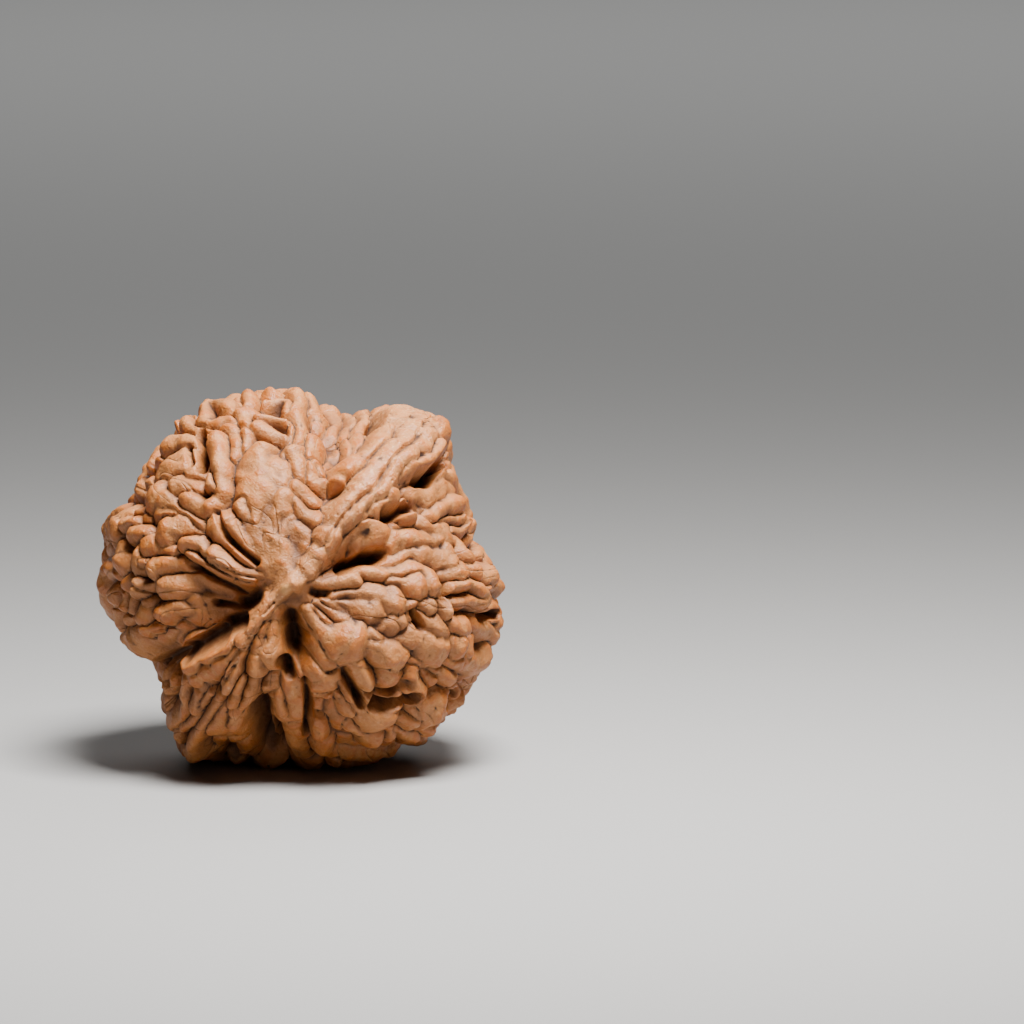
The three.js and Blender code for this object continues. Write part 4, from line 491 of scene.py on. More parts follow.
@dataclass
class StrokeMaker:
    """Lays strokes on the body from the rows of the tables."""

    body: Body
    step: float = 0.6
    trial_steps: int = 200
    knob_height: float = 0.09
    knob_width: float = 0.1
    knob_pitch: float = 1.7
    knob_slants: Pair = (1.3, -0.7)
    end_rise: float = 0.4
    end_width: float = 0.25

    def stroke(self, directions: Sequence[np.ndarray], heights: Row, widths: Row,
               top: Top = Top.ROUND) -> Stroke:
        """Lays a stroke that swells and narrows along its length, as the folds of a shell do.

        Args:
            directions: where it runs, from its root to its end.
            heights: its height or depth at the root and at the end.
            widths: its half-width there.
            top: its section.

        Returns:
            The stroke.
        """
        at = self.body.point(np.array(directions))
        x, y, z = at.T
        first, second = self.knob_slants
        swell = np.sin(self.knob_pitch * (x + first * z)) * np.sin(self.knob_pitch * (y + second * z) + 1)
        share = np.arange(len(at)) / max(len(at) - 1, 1)
        height = between(heights, share) * (1 + self.knob_height * swell)
        width = between(widths, share) * (1 + self.knob_width * swell)
        return Stroke(at, height, width, top)

    def face_line(self, places: Row, height_at: Callable[[float], float]) -> list[np.ndarray]:
        """Smooth line through given points of the face.

        Args:
            places: x and z of each point in turn.
            height_at: height over the body at a share of the way.

        Returns:
            Directions along the line.
        """
        marks = np.array(places, float).reshape(-1, 2)
        trial = smooth_points(marks, self.trial_steps)
        length = float(np.sum(np.linalg.norm(np.diff(trial, axis=0), axis=1)))
        count = max(math.ceil(length / self.step), 1)
        points = smooth_points(marks, count)
        return [self.body.seen_at(x, z, height_at(i / count)) for i, (x, z) in enumerate(points)]

    def ridge(self, row: Row, top: Top = Top.ROUND) -> Stroke:
        """Lays a ridge of the face. A round one grows wider and higher to its end, like a wedge.

        Args:
            row: its row of the table.
            top: its section.

        Returns:
            The ridge.
        """
        rises, widths, places = row[:2], row[2:4], row[4:]
        line = self.face_line(places, lambda share: between(rises, share))
        ridge = self.stroke(line, rises, widths, top)
        if top is Top.ROUND:
            swell = np.linspace(0, 1, len(line)) ** 2
            ridge.heights += self.end_rise * swell
            ridge.widths *= 1 + self.end_width * swell
        return ridge

    def dent(self, row: Row) -> Stroke:
        """A hollow or dent of the face."""
        depth, width, *places = row
        return self.stroke(self.face_line(places, lambda share: 0.0), (depth, depth), (width, width))

    def back_hollow(self, row: Row) -> Stroke:
        """Lays a hollow of the sides or the back.

        Args:
            row: its row of the table.

        Returns:
            The hollow.
        """
        depth, width, *angles = row
        from_tip, turn, end_from_tip, end_turn = (math.radians(angle) for angle in angles)
        ends = [direction_at(from_tip, turn), direction_at(end_from_tip, end_turn)]
        return self.stroke(ends, (depth, depth), (width, width))

    def back_seam(self, half: SeamHalf) -> Stroke:
        """Lays one half of the seam over the back, down to the stem end.

        Args:
            half: its measures.

        Returns:
            The seam.
        """
        line = []
        for from_tip in range(half.start, half.end + 1, half.step):
            swing = half.sway * math.sin(math.radians(from_tip * half.sways + half.turn))
            line.append(direction_at(math.radians(from_tip), math.radians(half.turn + swing)))
        return self.stroke(line, half.rises, half.widths, Top.FLAT)

    def scar(self, scar: StemScar) -> Stroke:
        """Lays the dent that the stem left.

        Args:
            scar: its measures.

        Returns:
            The dent.
        """
        half = scar.length / 2 / self.body.back_reach
        turn = math.radians(BACK_SEAM[0].turn)
        line = [direction_at(math.pi - side * half, turn) for side in (-1, 0, 1)]
        return self.stroke(line, (scar.depth, scar.depth), (scar.width, scar.width))

    def scar_rim(self, scar: StemScar) -> list[Stroke]:
        """Lays small knobs round the stem scar.

        Args:
            scar: its measures.

        Returns:
            The knobs.
        """
        from_tip = math.pi - scar.rim_reach / self.body.back_reach
        rim = []
        for i in range(scar.rim_knobs):
            turn = scar.rim_start + i * 360 / scar.rim_knobs
            sides = (turn - scar.rim_half_length, turn + scar.rim_half_length)
            ends = [direction_at(from_tip, math.radians(side)) for side in sides]
            rim.append(self.stroke(ends, (scar.rim_rise,) * 2, (scar.rim_width,) * 2))
        return rim


def smooth_points(marks: np.ndarray, count: int) -> np.ndarray:
    """Evenly timed points of the smooth curve through some marks.

    Args:
        marks: the marks, one row each.
        count: how many steps the curve is taken in.

    Returns:
        count + 1 points.
    """
    padded = np.vstack([2 * marks[0] - marks[1], marks, 2 * marks[-1] - marks[-2]])
    place = (len(marks) - 1) * np.arange(count + 1) / count
    before = np.minimum(np.floor(place).astype(int), len(marks) - 2)
    share = (place - before)[:, None]
    p0, p1, p2, p3 = (padded[before + i] for i in range(4))
    start, end = (p2 - p0) / 2, (p3 - p1) / 2
    square = -3 * p1 + 3 * p2 - 2 * start - end
    cube = 2 * p1 - 2 * p2 + start + end
    return p1 + share * (start + share * (square + share * cube))


class Draw:
    """Repeatable draws between 0 and 1, each worked out from the one before it."""

    FACTOR = 1664525
    STEP = 1013904223
    SPAN = 2 ** 32

    def __init__(self, seed: int) -> None:
        """Starts the row of draws at a seed."""
        self.state = seed

    def __call__(self) -> float:
        """The next draw."""
        self.state = (self.state * self.FACTOR + self.STEP) % self.SPAN
        return self.state / self.SPAN

    def between(self, ends: Row) -> float:
        """A draw between two ends."""
        return between(ends, self())


@dataclass(frozen=True)
class FoldKind:
    """One size of the folds that fill what the tables leave free."""

    starts: int
    widths: Pair
    rises: Pair
    half_lengths: Pair
    shortest: float


FOLDS = (
    FoldKind(900, (0.75, 1.15), (1.7, 2.4), (2.0, 4.4), 2.6),
    FoldKind(2200, (0.6, 0.85), (1.5, 2.2), (1.0, 2.6), 1.2),
    FoldKind(5200, (0.42, 0.5), (0.9, 1.5), (0.5, 1.4), 0.4),
)


@dataclass(frozen=True)
class Fold:
    """One fold as it starts: its half-width, rise and half-length, and its own turn and bend."""

    width: float
    rise: float
    half_length: float
    turn: float
    bend: float


@dataclass
class FoldGarden:
    """Grows folds over the free parts of the body, each from its own start until it meets another."""

    maker: StrokeMaker
    spacing: float = 1.12
    wander: float = 0.55
    own_turn: float = 0.5
    own_bend: float = 0.16
    seed: int = 20
    face_rise: float = 0.4
    face_end: Pair = (62.0, 84.0)
    taken: np.ndarray = field(default_factory=lambda: np.zeros((0, 3)))
    widths: np.ndarray = field(default_factory=lambda: np.zeros(0))

    def take(self, strokes: Iterable[Stroke]) -> None:
        """Marks the place of some strokes as taken."""
        for stroke in strokes:
            self.taken = np.vstack([self.taken, stroke.at])
            self.widths = np.concatenate([self.widths, stroke.widths])

    def is_free(self, direction: np.ndarray, width: float) -> bool:
        """Whether a fold of some half-width has room in a direction."""
        away = np.linalg.norm(self.taken - self.maker.body.point(direction), axis=1)
        return not (away <= self.spacing * (width + self.widths)).any()

    def rise_share(self, direction: np.ndarray) -> float:
        """How high a fold is against its full height: lower among the ridges of the face.

        Args:
            direction: where it starts.

        Returns:
            A share up to 1.
        """
        from_tip = math.degrees(math.acos(-direction[1]))
        share = min(max((from_tip - self.face_end[0]) / (self.face_end[1] - self.face_end[0]), 0), 1)
        return self.face_rise + (1 - self.face_rise) * share

    def course(self, direction: np.ndarray, angle: float) -> np.ndarray:
        """Course of a fold at a point.

        Args:
            direction: where the point is.
            angle: how far the course is turned from the way to the stem, in radians.

        Returns:
            A unit vector along the surface.
        """
        away = np.array([0.0, 1.0, 0.0]) - direction[1] * direction
        away = away / np.linalg.norm(away)
        return away * math.cos(angle) + np.cross(direction, away) * math.sin(angle)

    def walk(self, start: np.ndarray, way: int, fold: Fold) -> list[np.ndarray]:
        """Walks one way until the fold is long enough or meets another one.

        Args:
            start: the fold's own start.
            way: 1 towards the stem, -1 towards the tip.
            fold: what is grown.

        Returns:
            Directions along the walk, the start left out.
        """
        step = self.maker.step
        line: list[np.ndarray] = []
        direction = start
        gone = step
        while gone <= fold.half_length:
            at = self.maker.body.point(direction)
            angle = self.wander * len(STRAY_WAVES) * stray(at) + fold.turn + way * gone * fold.bend
            direction = direction + self.course(direction, angle) * (way * step / np.linalg.norm(at))
            direction = direction / np.linalg.norm(direction)
            if not self.is_free(direction, fold.width):
                break
            line.append(direction)
            gone += step
        return line

    def start_fold(self, kind: FoldKind, draw: Draw) -> Fold:
        """Draws the sizes of one fold.

        Args:
            kind: the ends between which they lie.
            draw: where the chances come from.

        Returns:
            The fold.
        """
        sizes = [draw.between(ends) for ends in (kind.widths, kind.rises, kind.half_lengths)]
        own = [most * (2 * draw() - 1) for most in (self.own_turn, self.own_bend)]
        return Fold(*sizes, *own)

    def grow(self, kind: FoldKind, draw: Draw) -> list[Stroke]:
        """Lets folds of one kind grow wherever there is room for them.

        Args:
            kind: their sizes.
            draw: where the chances come from.

        Returns:
            The folds.
        """
        grown = []
        for start in spread_directions(kind.starts):
            fold = self.start_fold(kind, draw)
            if not self.is_free(start, fold.width):
                continue
            ahead = self.walk(start, 1, fold)
            behind = self.walk(start, -1, fold)[::-1]
            line = [*behind, start, *ahead]
            if (len(line) - 1) * self.maker.step < kind.shortest:
                continue
            rise = fold.rise * self.rise_share(start)
            grown.append(self.maker.stroke(line, (rise, rise), (fold.width, fold.width), Top.FOLD))
            self.take(grown[-1:])
        return grown


STRAY_WAVES = ((0.33, 0.21, 0, 0.9), (0, 0.29, -0.37, 2.1), (0.25, 0, 0.35, 4.0))


def stray(point: np.ndarray) -> float:
    """A slow wave over the surface that makes neighbouring folds stray alike.

    Args:
        point: a point of the body.

    Returns:
        The mean of some waves, between -1 and 1.
    """
    x, y, z = point
    waves = [math.sin(a * x + b * y + c * z + start) for a, b, c, start in STRAY_WAVES]
    return sum(waves) / len(waves)


GOLDEN_ANGLE = math.pi * (3 - math.sqrt(5))
GOLDEN_SHARE = 0.382


def spread_directions(count: int) -> Iterable[np.ndarray]:
    """Directions spread evenly over the sphere, taken in a mixed order.

    Args:
        count: how many there are.

    Yields:
        One unit vector after another.
    """
    stride = math.floor(count * GOLDEN_SHARE + 0.5) * 2 + 1
    for i in range(count):
        index = (i * stride) % count
        yield direction_at(math.acos(1 - (2 * index + 1) / count), index * GOLDEN_ANGLE)


@dataclass
class Pieces:
    """The straight pieces of many strokes, sorted into boxes of space."""

    start: np.ndarray
    along: np.ndarray
    heights: np.ndarray
    widths: np.ndarray
    owner: np.ndarray
    power: np.ndarray
    skirt: np.ndarray
    boxes: dict[Box, list[int]]

    @classmethod
    def sort(cls, strokes: Sequence[Stroke], reach_of: Callable[[Stroke, float], float],
             side: float) -> "Pieces":
        """Sorts strokes.

        Args:
            strokes: what to sort.
            reach_of: how far a piece reaches, from its stroke and its half-width.
            side: side of a box.

        Returns:
            The sorted pieces.
        """
        rows: list[tuple] = []
        boxes: dict[Box, list[int]] = {}
        for owner, stroke in enumerate(strokes):
            for i, j in stroke.pieces():
                a, b = stroke.at[i], stroke.at[j]
                reach = reach_of(stroke, max(stroke.widths[i], stroke.widths[j]))
                low = np.floor((np.minimum(a, b) - reach) / side).astype(int)
                high = np.floor((np.maximum(a, b) + reach) / side).astype(int)
                for key in np.ndindex(*(high - low + 1)):
                    boxes.setdefault(tuple(low + key), []).append(len(rows))
                heights = (stroke.heights[i], stroke.heights[j])
                widths = (stroke.widths[i], stroke.widths[j])
                rows.append((a, b - a, heights, widths, owner, stroke.top.power, stroke.top.skirt))
        columns = [np.array(column) for column in zip(*rows)]
        return cls(*columns, boxes)

    def nearest(self, picked: Sequence[int], points: np.ndarray) -> tuple[np.ndarray, ...]:
        """Measures some pieces from some points.

        Args:
            picked: numbers of the pieces.
            points: the points, one row each.

        Returns:
            Distance, height and half-width, with a row for each point and a column for each piece.
        """
        along = self.along[picked]
        square = np.maximum(np.einsum("ij,ij->i", along, along), TINY)
        offset = points[:, None, :] - self.start[picked][None]
        share = np.clip(np.einsum("vij,ij->vi", offset, along) / square, 0, 1)
        distance = np.linalg.norm(offset - share[..., None] * along[None], axis=2)
        return distance, between(self.heights[picked].T, share), between(self.widths[picked].T, share)


@dataclass
class Reading:
    """What the relief says at each point asked for, in millimetres, or as a share where it is named so."""

    height: np.ndarray
    crease: np.ndarray
    seam: np.ndarray
    sunk: np.ndarray


@dataclass
class Relief:
    """Every ridge, hollow and dent of the shell, and the height that they give the surface."""

    maker: StrokeMaker
    shoulder: float = 0.8
    lump: float = 0.18
    lump_pitch: float = 2.1
    dent_spread: float = 1.6
    hollow_spread: float = 1.7
    hollow_rim: float = 2.6
    hollow_blend: float = 0.3
    hollow_kept: float = 0.35
    fill: float = 0.5
    blend: float = 0.36
    tip_blend: float = 0.3
    tip_smooth: float = 2.6
    crease_depth: float = 0.34
    crease_spread: float = 0.38
    box_side: float = 2.5
    waver: tuple[Pair, ...] = ((0.24, 0.85), (0.05, 2.3))

    def __post_init__(self) -> None:
        """Lays the strokes out and sorts them."""
        maker = self.maker
        scar = StemScar()
        seams = [maker.ridge(row, Top.FLAT) for row in SEAM_RIDGES]
        seams += [maker.back_seam(half) for half in BACK_SEAM]
        ridges = seams + [maker.ridge(row) for row in RIDGES] + maker.scar_rim(scar)
        hollows = [maker.dent(row) for row in HOLLOWS] + [maker.back_hollow(row) for row in BACK_HOLLOWS]
        dents = [maker.dent(row) for row in [*DENTS, *SEAM_GROOVE]] + [maker.scar(scar)]
        garden = FoldGarden(maker)
        garden.take([*ridges, *hollows, maker.scar(scar)])
        draw = Draw(garden.seed)
        for kind in FOLDS:
            ridges += garden.grow(kind, draw)
        self.seam_count = len(seams)
        self.tip = np.array([0, -maker.body.tip_reach, 0])
        self.plates = [(rise, reach, maker.body.point(maker.body.seen_at(x, z, 0.0)))
                       for rise, reach, x, z in PLATES]
        self.ridges = self.boxed(ridges, lambda stroke, width: stroke.top.skirt * width + 2 * self.blend)
        self.hollows = self.boxed(hollows, lambda stroke, width: self.hollow_spread * width)
        self.dents = self.boxed(dents, lambda stroke, width: self.dent_spread * width)
        log.info("relief: %d ridges, %d hollows, %d dents", len(ridges), len(hollows), len(dents))

    def boxed(self, strokes: Sequence[Stroke], reach_of: Callable[[Stroke, float], float]) -> Pieces:
        """Strokes sorted into boxes of this relief's size."""
        return Pieces.sort(strokes, reach_of, self.box_side)

    def wavered(self, points: np.ndarray) -> np.ndarray:
        """Shifts points a little, so that every line through them wavers.

        Args:
            points: the points, one row each.

        Returns:
            The shifted points.
        """
        shifted = points.copy()
        x, y, z = points.T
        for size, pitch in self.waver:
            shifted[:, 0] += size * np.sin(pitch * (y + 0.7 * z))
            shifted[:, 1] += size * np.sin(pitch * (z + 0.6 * x) + 2)
            shifted[:, 2] += size * np.sin(pitch * (x + 0.8 * y) + 4)
        return shifted

    def ridge_heights(self, picked: Sequence[int], points: np.ndarray) -> np.ndarray:
        """Height of each ridge's section above the body, and below it past its foot.

        Args:
            picked: numbers of the ridges' pieces.
            points: the points, one row each.

        Returns:
            A row for each point, a column for each piece.
        """
        distance, height, width = self.ridges.nearest(picked, points)
        power, foot = self.ridges.power[picked], self.ridges.skirt[picked] * width
        share = distance / foot
        left = 1 - self.shoulder ** power
        inside = height * np.maximum(1 - share ** power, 0) ** (1 / power)
        slope = height / foot * self.shoulder ** (power - 1) * left ** (1 / power - 1)
        outside = height * left ** (1 / power) - slope * (distance - self.shoulder * foot)
        return np.where(share < self.shoulder, inside, outside)

    def join_ridges(self, picked: Sequence[int], points: np.ndarray) -> tuple[np.ndarray, ...]:
        """Joins the ridges over the ground between them, softly, with a crease where two meet.

        Args:
            picked: numbers of the ridges' pieces.
            points: the points, one row each.

        Returns:
            Height, crease and seam share at each point.
        """
        fill = np.full(len(points), self.fill)
        for rise, reach, at in self.plates:
            fill += rise * bell(points - at, reach)
        if not picked:
            return fill, np.zeros(len(points)), np.zeros(len(points))
        near_tip = bell(points - self.tip, self.tip_smooth)
        blend = self.blend + self.tip_blend * near_tip
        owner = self.ridges.owner[picked]
        starts = np.flatnonzero(np.r_[True, owner[1:] != owner[:-1]])
        heights = np.maximum.reduceat(self.ridge_heights(picked, points), starts, axis=1)
        ranked = np.sort(heights, axis=1)
        first = ranked[:, -1]
        second = ranked[:, -2] if heights.shape[1] > 1 else np.full(len(points), -np.inf)
        highest = np.maximum(first, fill)
        total = np.exp((fill - highest) / blend)
        total += np.exp((heights - highest[:, None]) / blend[:, None]).sum(axis=1)
        crease = np.exp(-(((first - second) / self.crease_spread) ** 2)) * (1 - near_tip)
        top = highest + blend * np.log(total) - self.crease_depth * crease
        seam = (owner[starts][np.argmax(heights, axis=1)] < self.seam_count) * (first > 0)
        return top, crease, seam.astype(float)

    def hollow_height(self, picked: Sequence[int], points: np.ndarray, top: np.ndarray) -> np.ndarray:
        """Height that the hollows leave at each point, without end where there is none.

        Args:
            picked: numbers of the hollows' pieces.
            points: the points, one row each.
            top: height of the ridges there.

        Returns:
            The heights.
        """
        if not picked:
            return np.full(len(points), np.inf)
        distance, height, width = self.hollows.nearest(picked, points)
        wall = (height + self.hollow_rim) * (distance / (self.hollow_spread * width)) ** 2 - height
        return wall.min(axis=1) + self.hollow_kept * top

    def dent_depth(self, picked: Sequence[int], points: np.ndarray) -> np.ndarray:
        """How deep the dents sink each point.

        Args:
            picked: numbers of the dents' pieces.
            points: the points, one row each.

        Returns:
            The depths.
        """
        if not picked:
            return np.zeros(len(points))
        distance, height, width = self.dents.nearest(picked, points)
        share = np.minimum(distance / (self.dent_spread * width), 1)
        return (height * (1 - share * share) ** 2).max(axis=1)

    def read_box(self, key: Box, points: np.ndarray) -> tuple[np.ndarray, ...]:
        """Reads the relief in one box of space.

        Args:
            key: the box's place in the row, the column and the stack of boxes.
            points: points in it, one row each.

        Returns:
            The rows of a reading.
        """
        top, crease, seam = self.join_ridges(self.ridges.boxes.get(key, []), points)
        x, y, z = (self.lump_pitch * points).T
        top += self.lump * np.sin(x + 0.4 * z + 1) * np.sin(y + 0.5 * x) * np.sin(z + 0.3 * y + 2)
        hollow = self.hollow_height(self.hollows.boxes.get(key, []), points, top)
        dent = self.dent_depth(self.dents.boxes.get(key, []), points)
        lower, higher = np.minimum(top, hollow), np.maximum(top, hollow)
        cut = lower - self.hollow_blend * np.log1p(np.exp((lower - higher) / self.hollow_blend))
        sunk = np.clip(top - hollow, 0, None)
        return cut - dent, crease * (hollow > top), seam, sunk + dent

    def read(self, directions: np.ndarray) -> Reading:
        """Reads the relief in many directions.

        Args:
            directions: unit vectors, one row each.

        Returns:
            What it says there.
        """
        points = self.wavered(self.maker.body.point(directions))
        keys = np.floor(points / self.box_side).astype(int)
        order = np.lexsort(keys.T)
        changes = np.flatnonzero(np.any(np.diff(keys[order], axis=0), axis=1)) + 1
        found = np.zeros((4, len(points)))
        for group in np.split(order, changes):
            found[:, group] = self.read_box(tuple(keys[group[0]]), points[group])
        return Reading(*found)


def bell(offsets: np.ndarray, reach: float) -> np.ndarray:
    """A soft heap of height 1 round a point, from the offsets to it."""
    return np.exp(-(np.linalg.norm(offsets, axis=1) / reach) ** 2)


class Lattice:
    """Smooth repeatable noise over space, between -1 and 1."""

    SIDE = 64

    def __init__(self, seed: int) -> None:
        """Fills the lattice with draws from a seed."""
        self.values = np.random.default_rng(seed).uniform(-1, 1, (self.SIDE,) * 3)

    def at(self, points: np.ndarray, size: float) -> np.ndarray:
        """Noise at some points.

        Args:
            points: the points, one row each.
            size: distance between two lattice points.

        Returns:
            One value for each point.
        """
        place = points / size
        cell = np.floor(place).astype(int)
        share = place - cell
        ease = share ** 3 * (share * (share * 6 - 15) + 10)
        total = np.zeros(len(points))
        for corner in np.ndindex(2, 2, 2):
            weight = np.prod(np.where(corner, ease, 1 - ease), axis=1)
            total += weight * self.values[tuple(((cell + corner) % self.SIDE).T)]
        return total


@dataclass(frozen=True)
class Wrinkle:
    """One size of the fine wrinkles: how far apart they are and how high they stand."""

    size: float
    height: float


@dataclass(frozen=True)
class Vein:
    """One size of the veins, with the reach of their space along the nut and the seed of their noise."""

    size: float
    depth: float
    spread: float
    along: float
    seed: int


@dataclass
class Veins:
    """Thin grooves that run over the ridges from the tip to the stem, and branch.

    They follow the lines where a noise is nought, in a space that is drawn out along the nut.
    """

    stray: Lattice
    kinds: tuple[Vein, ...] = (Vein(2.2, 0.11, 0.07, 0.11, 11), Vein(1.3, 0.08, 0.08, 0.14, 12))
    around: float = 14.0
    least_across: float = 1e-6
    length: float = 20.0
    stray_size: float = 3.0
    stray_share: float = 0.5
    stray_shift: float = 9.0
    patch_size: float = 4.0
    patch_shift: float = 70.0
    patch_clear: Pair = (0.35, 1.8)
    tip_bare: Pair = (0.2, 0.4)
    stem_bare: Pair = (0.3, 1.0)

    def __post_init__(self) -> None:
        """Fills a lattice for each size."""
        self.lattices = [Lattice(vein.seed) for vein in self.kinds]

    def waves(self, directions: np.ndarray, points: np.ndarray) -> list[np.ndarray]:
        """For each size of vein the noise that is nought along it, over its spread.

        Args:
            directions: unit vectors, one row each.
            points: points of the body there.

        Returns:
            The noises.
        """
        across = np.hypot(directions[:, 0], directions[:, 2])
        from_tip = np.arctan2(across, -directions[:, 1])
        spread = np.sin(np.minimum(from_tip, math.pi / 2)) ** 0.5
        out = self.around / np.maximum(across, self.least_across) * spread
        shifts = [self.stray.at(points + self.stray_shift * i, self.stray_size) for i in range(3)]
        waves = []
        for vein, lattice in zip(self.kinds, self.lattices):
            along = from_tip * self.length * vein.along
            flow = np.stack([directions[:, 0] * out, directions[:, 2] * out, along], axis=1)
            flow += self.stray_share * np.stack(shifts, axis=1)
            waves.append(lattice.at(flow, vein.size) / vein.spread)
        return waves

    def clear(self, directions: np.ndarray, points: np.ndarray) -> np.ndarray:
        """How clear the veins are: in patches, and not at all at the tip and the stem.

        Args:
            directions: unit vectors, one row each.
            points: points of the body there.

        Returns:
            Shares from 0 to 1.
        """
        from_tip = np.arctan2(np.hypot(directions[:, 0], directions[:, 2]), -directions[:, 1])
        floor, swing = self.patch_clear
        patches = np.clip(floor + swing * self.stray.at(points + self.patch_shift, self.patch_size), 0, 1)
        past_tip = np.clip(from_tip / self.tip_bare[0] - self.tip_bare[1], 0, 1)
        before_stem = np.clip((math.pi - from_tip) / self.stem_bare[0] - self.stem_bare[1], 0, 1)
        return patches * past_tip * before_stem

    def depth(self, directions: np.ndarray, points: np.ndarray) -> np.ndarray:
        """How deep the veins sink the surface.

        Args:
            directions: unit vectors, one row each.
            points: points of the body there.

        Returns:
            The depths.
        """
        waves = self.waves(directions, points)
        lines = [vein.depth * np.exp(-(wave ** 2)) for vein, wave in zip(self.kinds, waves)]
        return self.clear(directions, points) * np.max(lines, axis=0)


@dataclass(frozen=True)
class Sinking:
    """How far a vertex lies under the mean of those round it, stored as a share of a span."""

    name: str
    more_steps: int
    span: float
    middle: float = 0.5


@dataclass
class Shell:
    """The whole shell: its relief, its fine wrinkles and what the finish needs to know of it."""

    body: Body = field(default_factory=Body)
    levels: int = 9
    faces: int = 196000
    wrinkles: tuple[Wrinkle, ...] = (Wrinkle(1.9, 0.12), Wrinkle(0.95, 0.07), Wrinkle(0.5, 0.03))
    wrinkle_shift: float = 40
    noise_seed: int = 7
    # How sunk each vertex lies, at widening reaches; the finish paints shade from these.
    sinkings: tuple[Sinking, ...] = (
        Sinking("groove", 1, 0.10, 0.0),
        Sinking("cavity", 3, 0.3),
        Sinking("valley", 14, 1.4),
        Sinking("depth", 46, 3.0),
    )
    hollow_depth: float = 2.5
    seam_steps: int = 3

    def __post_init__(self) -> None:
        """Lays out the relief."""
        self.relief = Relief(StrokeMaker(self.body))
        self.lattice = Lattice(self.noise_seed)
        self.veins = Veins(self.lattice)
        self.turn = np.array(Matrix.Rotation(-math.radians(self.body.tilt), 3, "X"))

    def surface(self, directions: np.ndarray) -> np.ndarray:
        """Points of the surface, tilted as the nut lies and flat where it rests, round its centre.

        Args:
            directions: unit vectors, one row each.

        Returns:
            The points, one row each.
        """
        on_body = self.body.point(directions)
        radius = self.body.radius(directions) + self.relief.read(directions).height
        for wrinkle in self.wrinkles:
            shifted = on_body + self.wrinkle_shift * wrinkle.size
            radius += wrinkle.height * self.lattice.at(shifted, wrinkle.size)
        radius -= self.veins.depth(directions, on_body)
        turned = directions @ self.turn.T
        floor = self.body.rest_height / np.maximum(-turned[:, 2], TINY)
        radius = np.where(turned[:, 2] < 0, np.minimum(radius, floor), radius)
        return turned * radius[:, None]

    def build(self) -> bpy.types.Object:
        """Models the shell from a fine ball of triangles.

        Returns:
            The object, at rest on the floor.
        """
        bpy.ops.object.select_all(action="DESELECT")
        bpy.ops.mesh.primitive_ico_sphere_add(subdivisions=self.levels, radius=1, location=(0, 0, 0))
        shell = bpy.context.object
        shell.name = shell.data.name = "nutshell"
        ball = read_rows(shell.data.vertices, "co", 3)
        ball /= np.linalg.norm(ball, axis=1)[:, None]
        points = self.surface(ball)
        middle = (points.min(axis=0) + points.max(axis=0)) / 2
        self.shift = np.array([-middle[0], -middle[1], self.body.rest_height])
        shell.data.vertices.foreach_set("co", ((points + self.shift) * MM).ravel())
        shell.data.update()
        log.info("shell: %d faces before thinning", len(shell.data.polygons))
        thin = shell.modifiers.new("thin", "DECIMATE")
        thin.ratio = self.faces / len(shell.data.polygons)
        bpy.ops.object.modifier_apply(modifier=thin.name)
        self.settle(shell.data)
        self.describe(shell.data)
        bpy.ops.object.shade_smooth()
        log.info("shell: %d faces", len(shell.data.polygons))
        return shell

    def settle(self, mesh: bpy.types.Mesh) -> None:
        """Lays on the floor whatever thinning has put under it.

        Args:
            mesh: the shell's mesh.
        """
        points = read_rows(mesh.vertices, "co", 3)
        points[:, 2] = np.maximum(points[:, 2], 0)
        mesh.vertices.foreach_set("co", points.ravel())
        mesh.update()

    def describe(self, mesh: bpy.types.Mesh) -> None:
        """Stores at each vertex what the finish reads.

        Args:
            mesh: the shell's mesh.
        """
        points = read_rows(mesh.vertices, "co", 3) / MM - self.shift
        normals = read_rows(mesh.vertices, "normal", 3)
        edges = read_rows(mesh.edges, "vertices", 2, int)
        mean = points
        for kind in self.sinkings:
            mean = smoothed(mean, edges, kind.more_steps)
            sunk = np.einsum("ij,ij->i", mean - points, normals)
            set_attribute(mesh, kind.name, np.clip(kind.middle + sunk / kind.span, 0, 1))
        own = points @ self.turn
        directions = own / np.linalg.norm(own, axis=1)[:, None]
        on_body = self.body.point(directions)
        for number, wave in enumerate(self.veins.waves(directions, on_body)):
            set_attribute(mesh, f"vein_{number}", wave)
        set_attribute(mesh, "vein_clear", self.veins.clear(directions, on_body))
        reading = self.relief.read(directions)
        set_attribute(mesh, "crease", reading.crease)
        set_attribute(mesh, "hollow", np.clip(reading.sunk / self.hollow_depth, 0, 1))
        set_attribute(mesh, "seam", smoothed(reading.seam[:, None], edges, self.seam_steps)[:, 0])
        set_attribute(mesh, "from_tip", np.arccos(np.clip(-directions[:, 1], -1, 1)))


def read_rows(owners: bpy.types.bpy_prop_collection, name: str, columns: int,
              kind: type = float) -> np.ndarray:
    """Reads one property of all vertices or edges.

    Args:
        owners: the vertices or edges.
        name: the property.
        columns: how many numbers it has.
        kind: what numbers they are.

    Returns:
        One row each.
    """
    flat = np.zeros(len(owners) * columns, kind)
    owners.foreach_get(name, flat)
    return flat.reshape(-1, columns)


def smoothed(values: np.ndarray, edges: np.ndarray, steps: int) -> np.ndarray:
    """Averages values over neighbouring vertices.

    Args:
        values: one row for each vertex.
        edges: pairs of neighbours.
        steps: how many times each vertex takes the mean of itself and its neighbours.

    Returns:
        The averaged rows.
    """
    count = len(values)
    first, second = edges.T
    shares = 1 / (np.bincount(first, minlength=count) + np.bincount(second, minlength=count) + 1)
    for _ in range(steps):
        columns = []
        for column in values.T:
            total = column + np.bincount(first, weights=column[second], minlength=count)
            total += np.bincount(second, weights=column[first], minlength=count)
            columns.append(total * shares)
        values = np.stack(columns, axis=1)
    return values


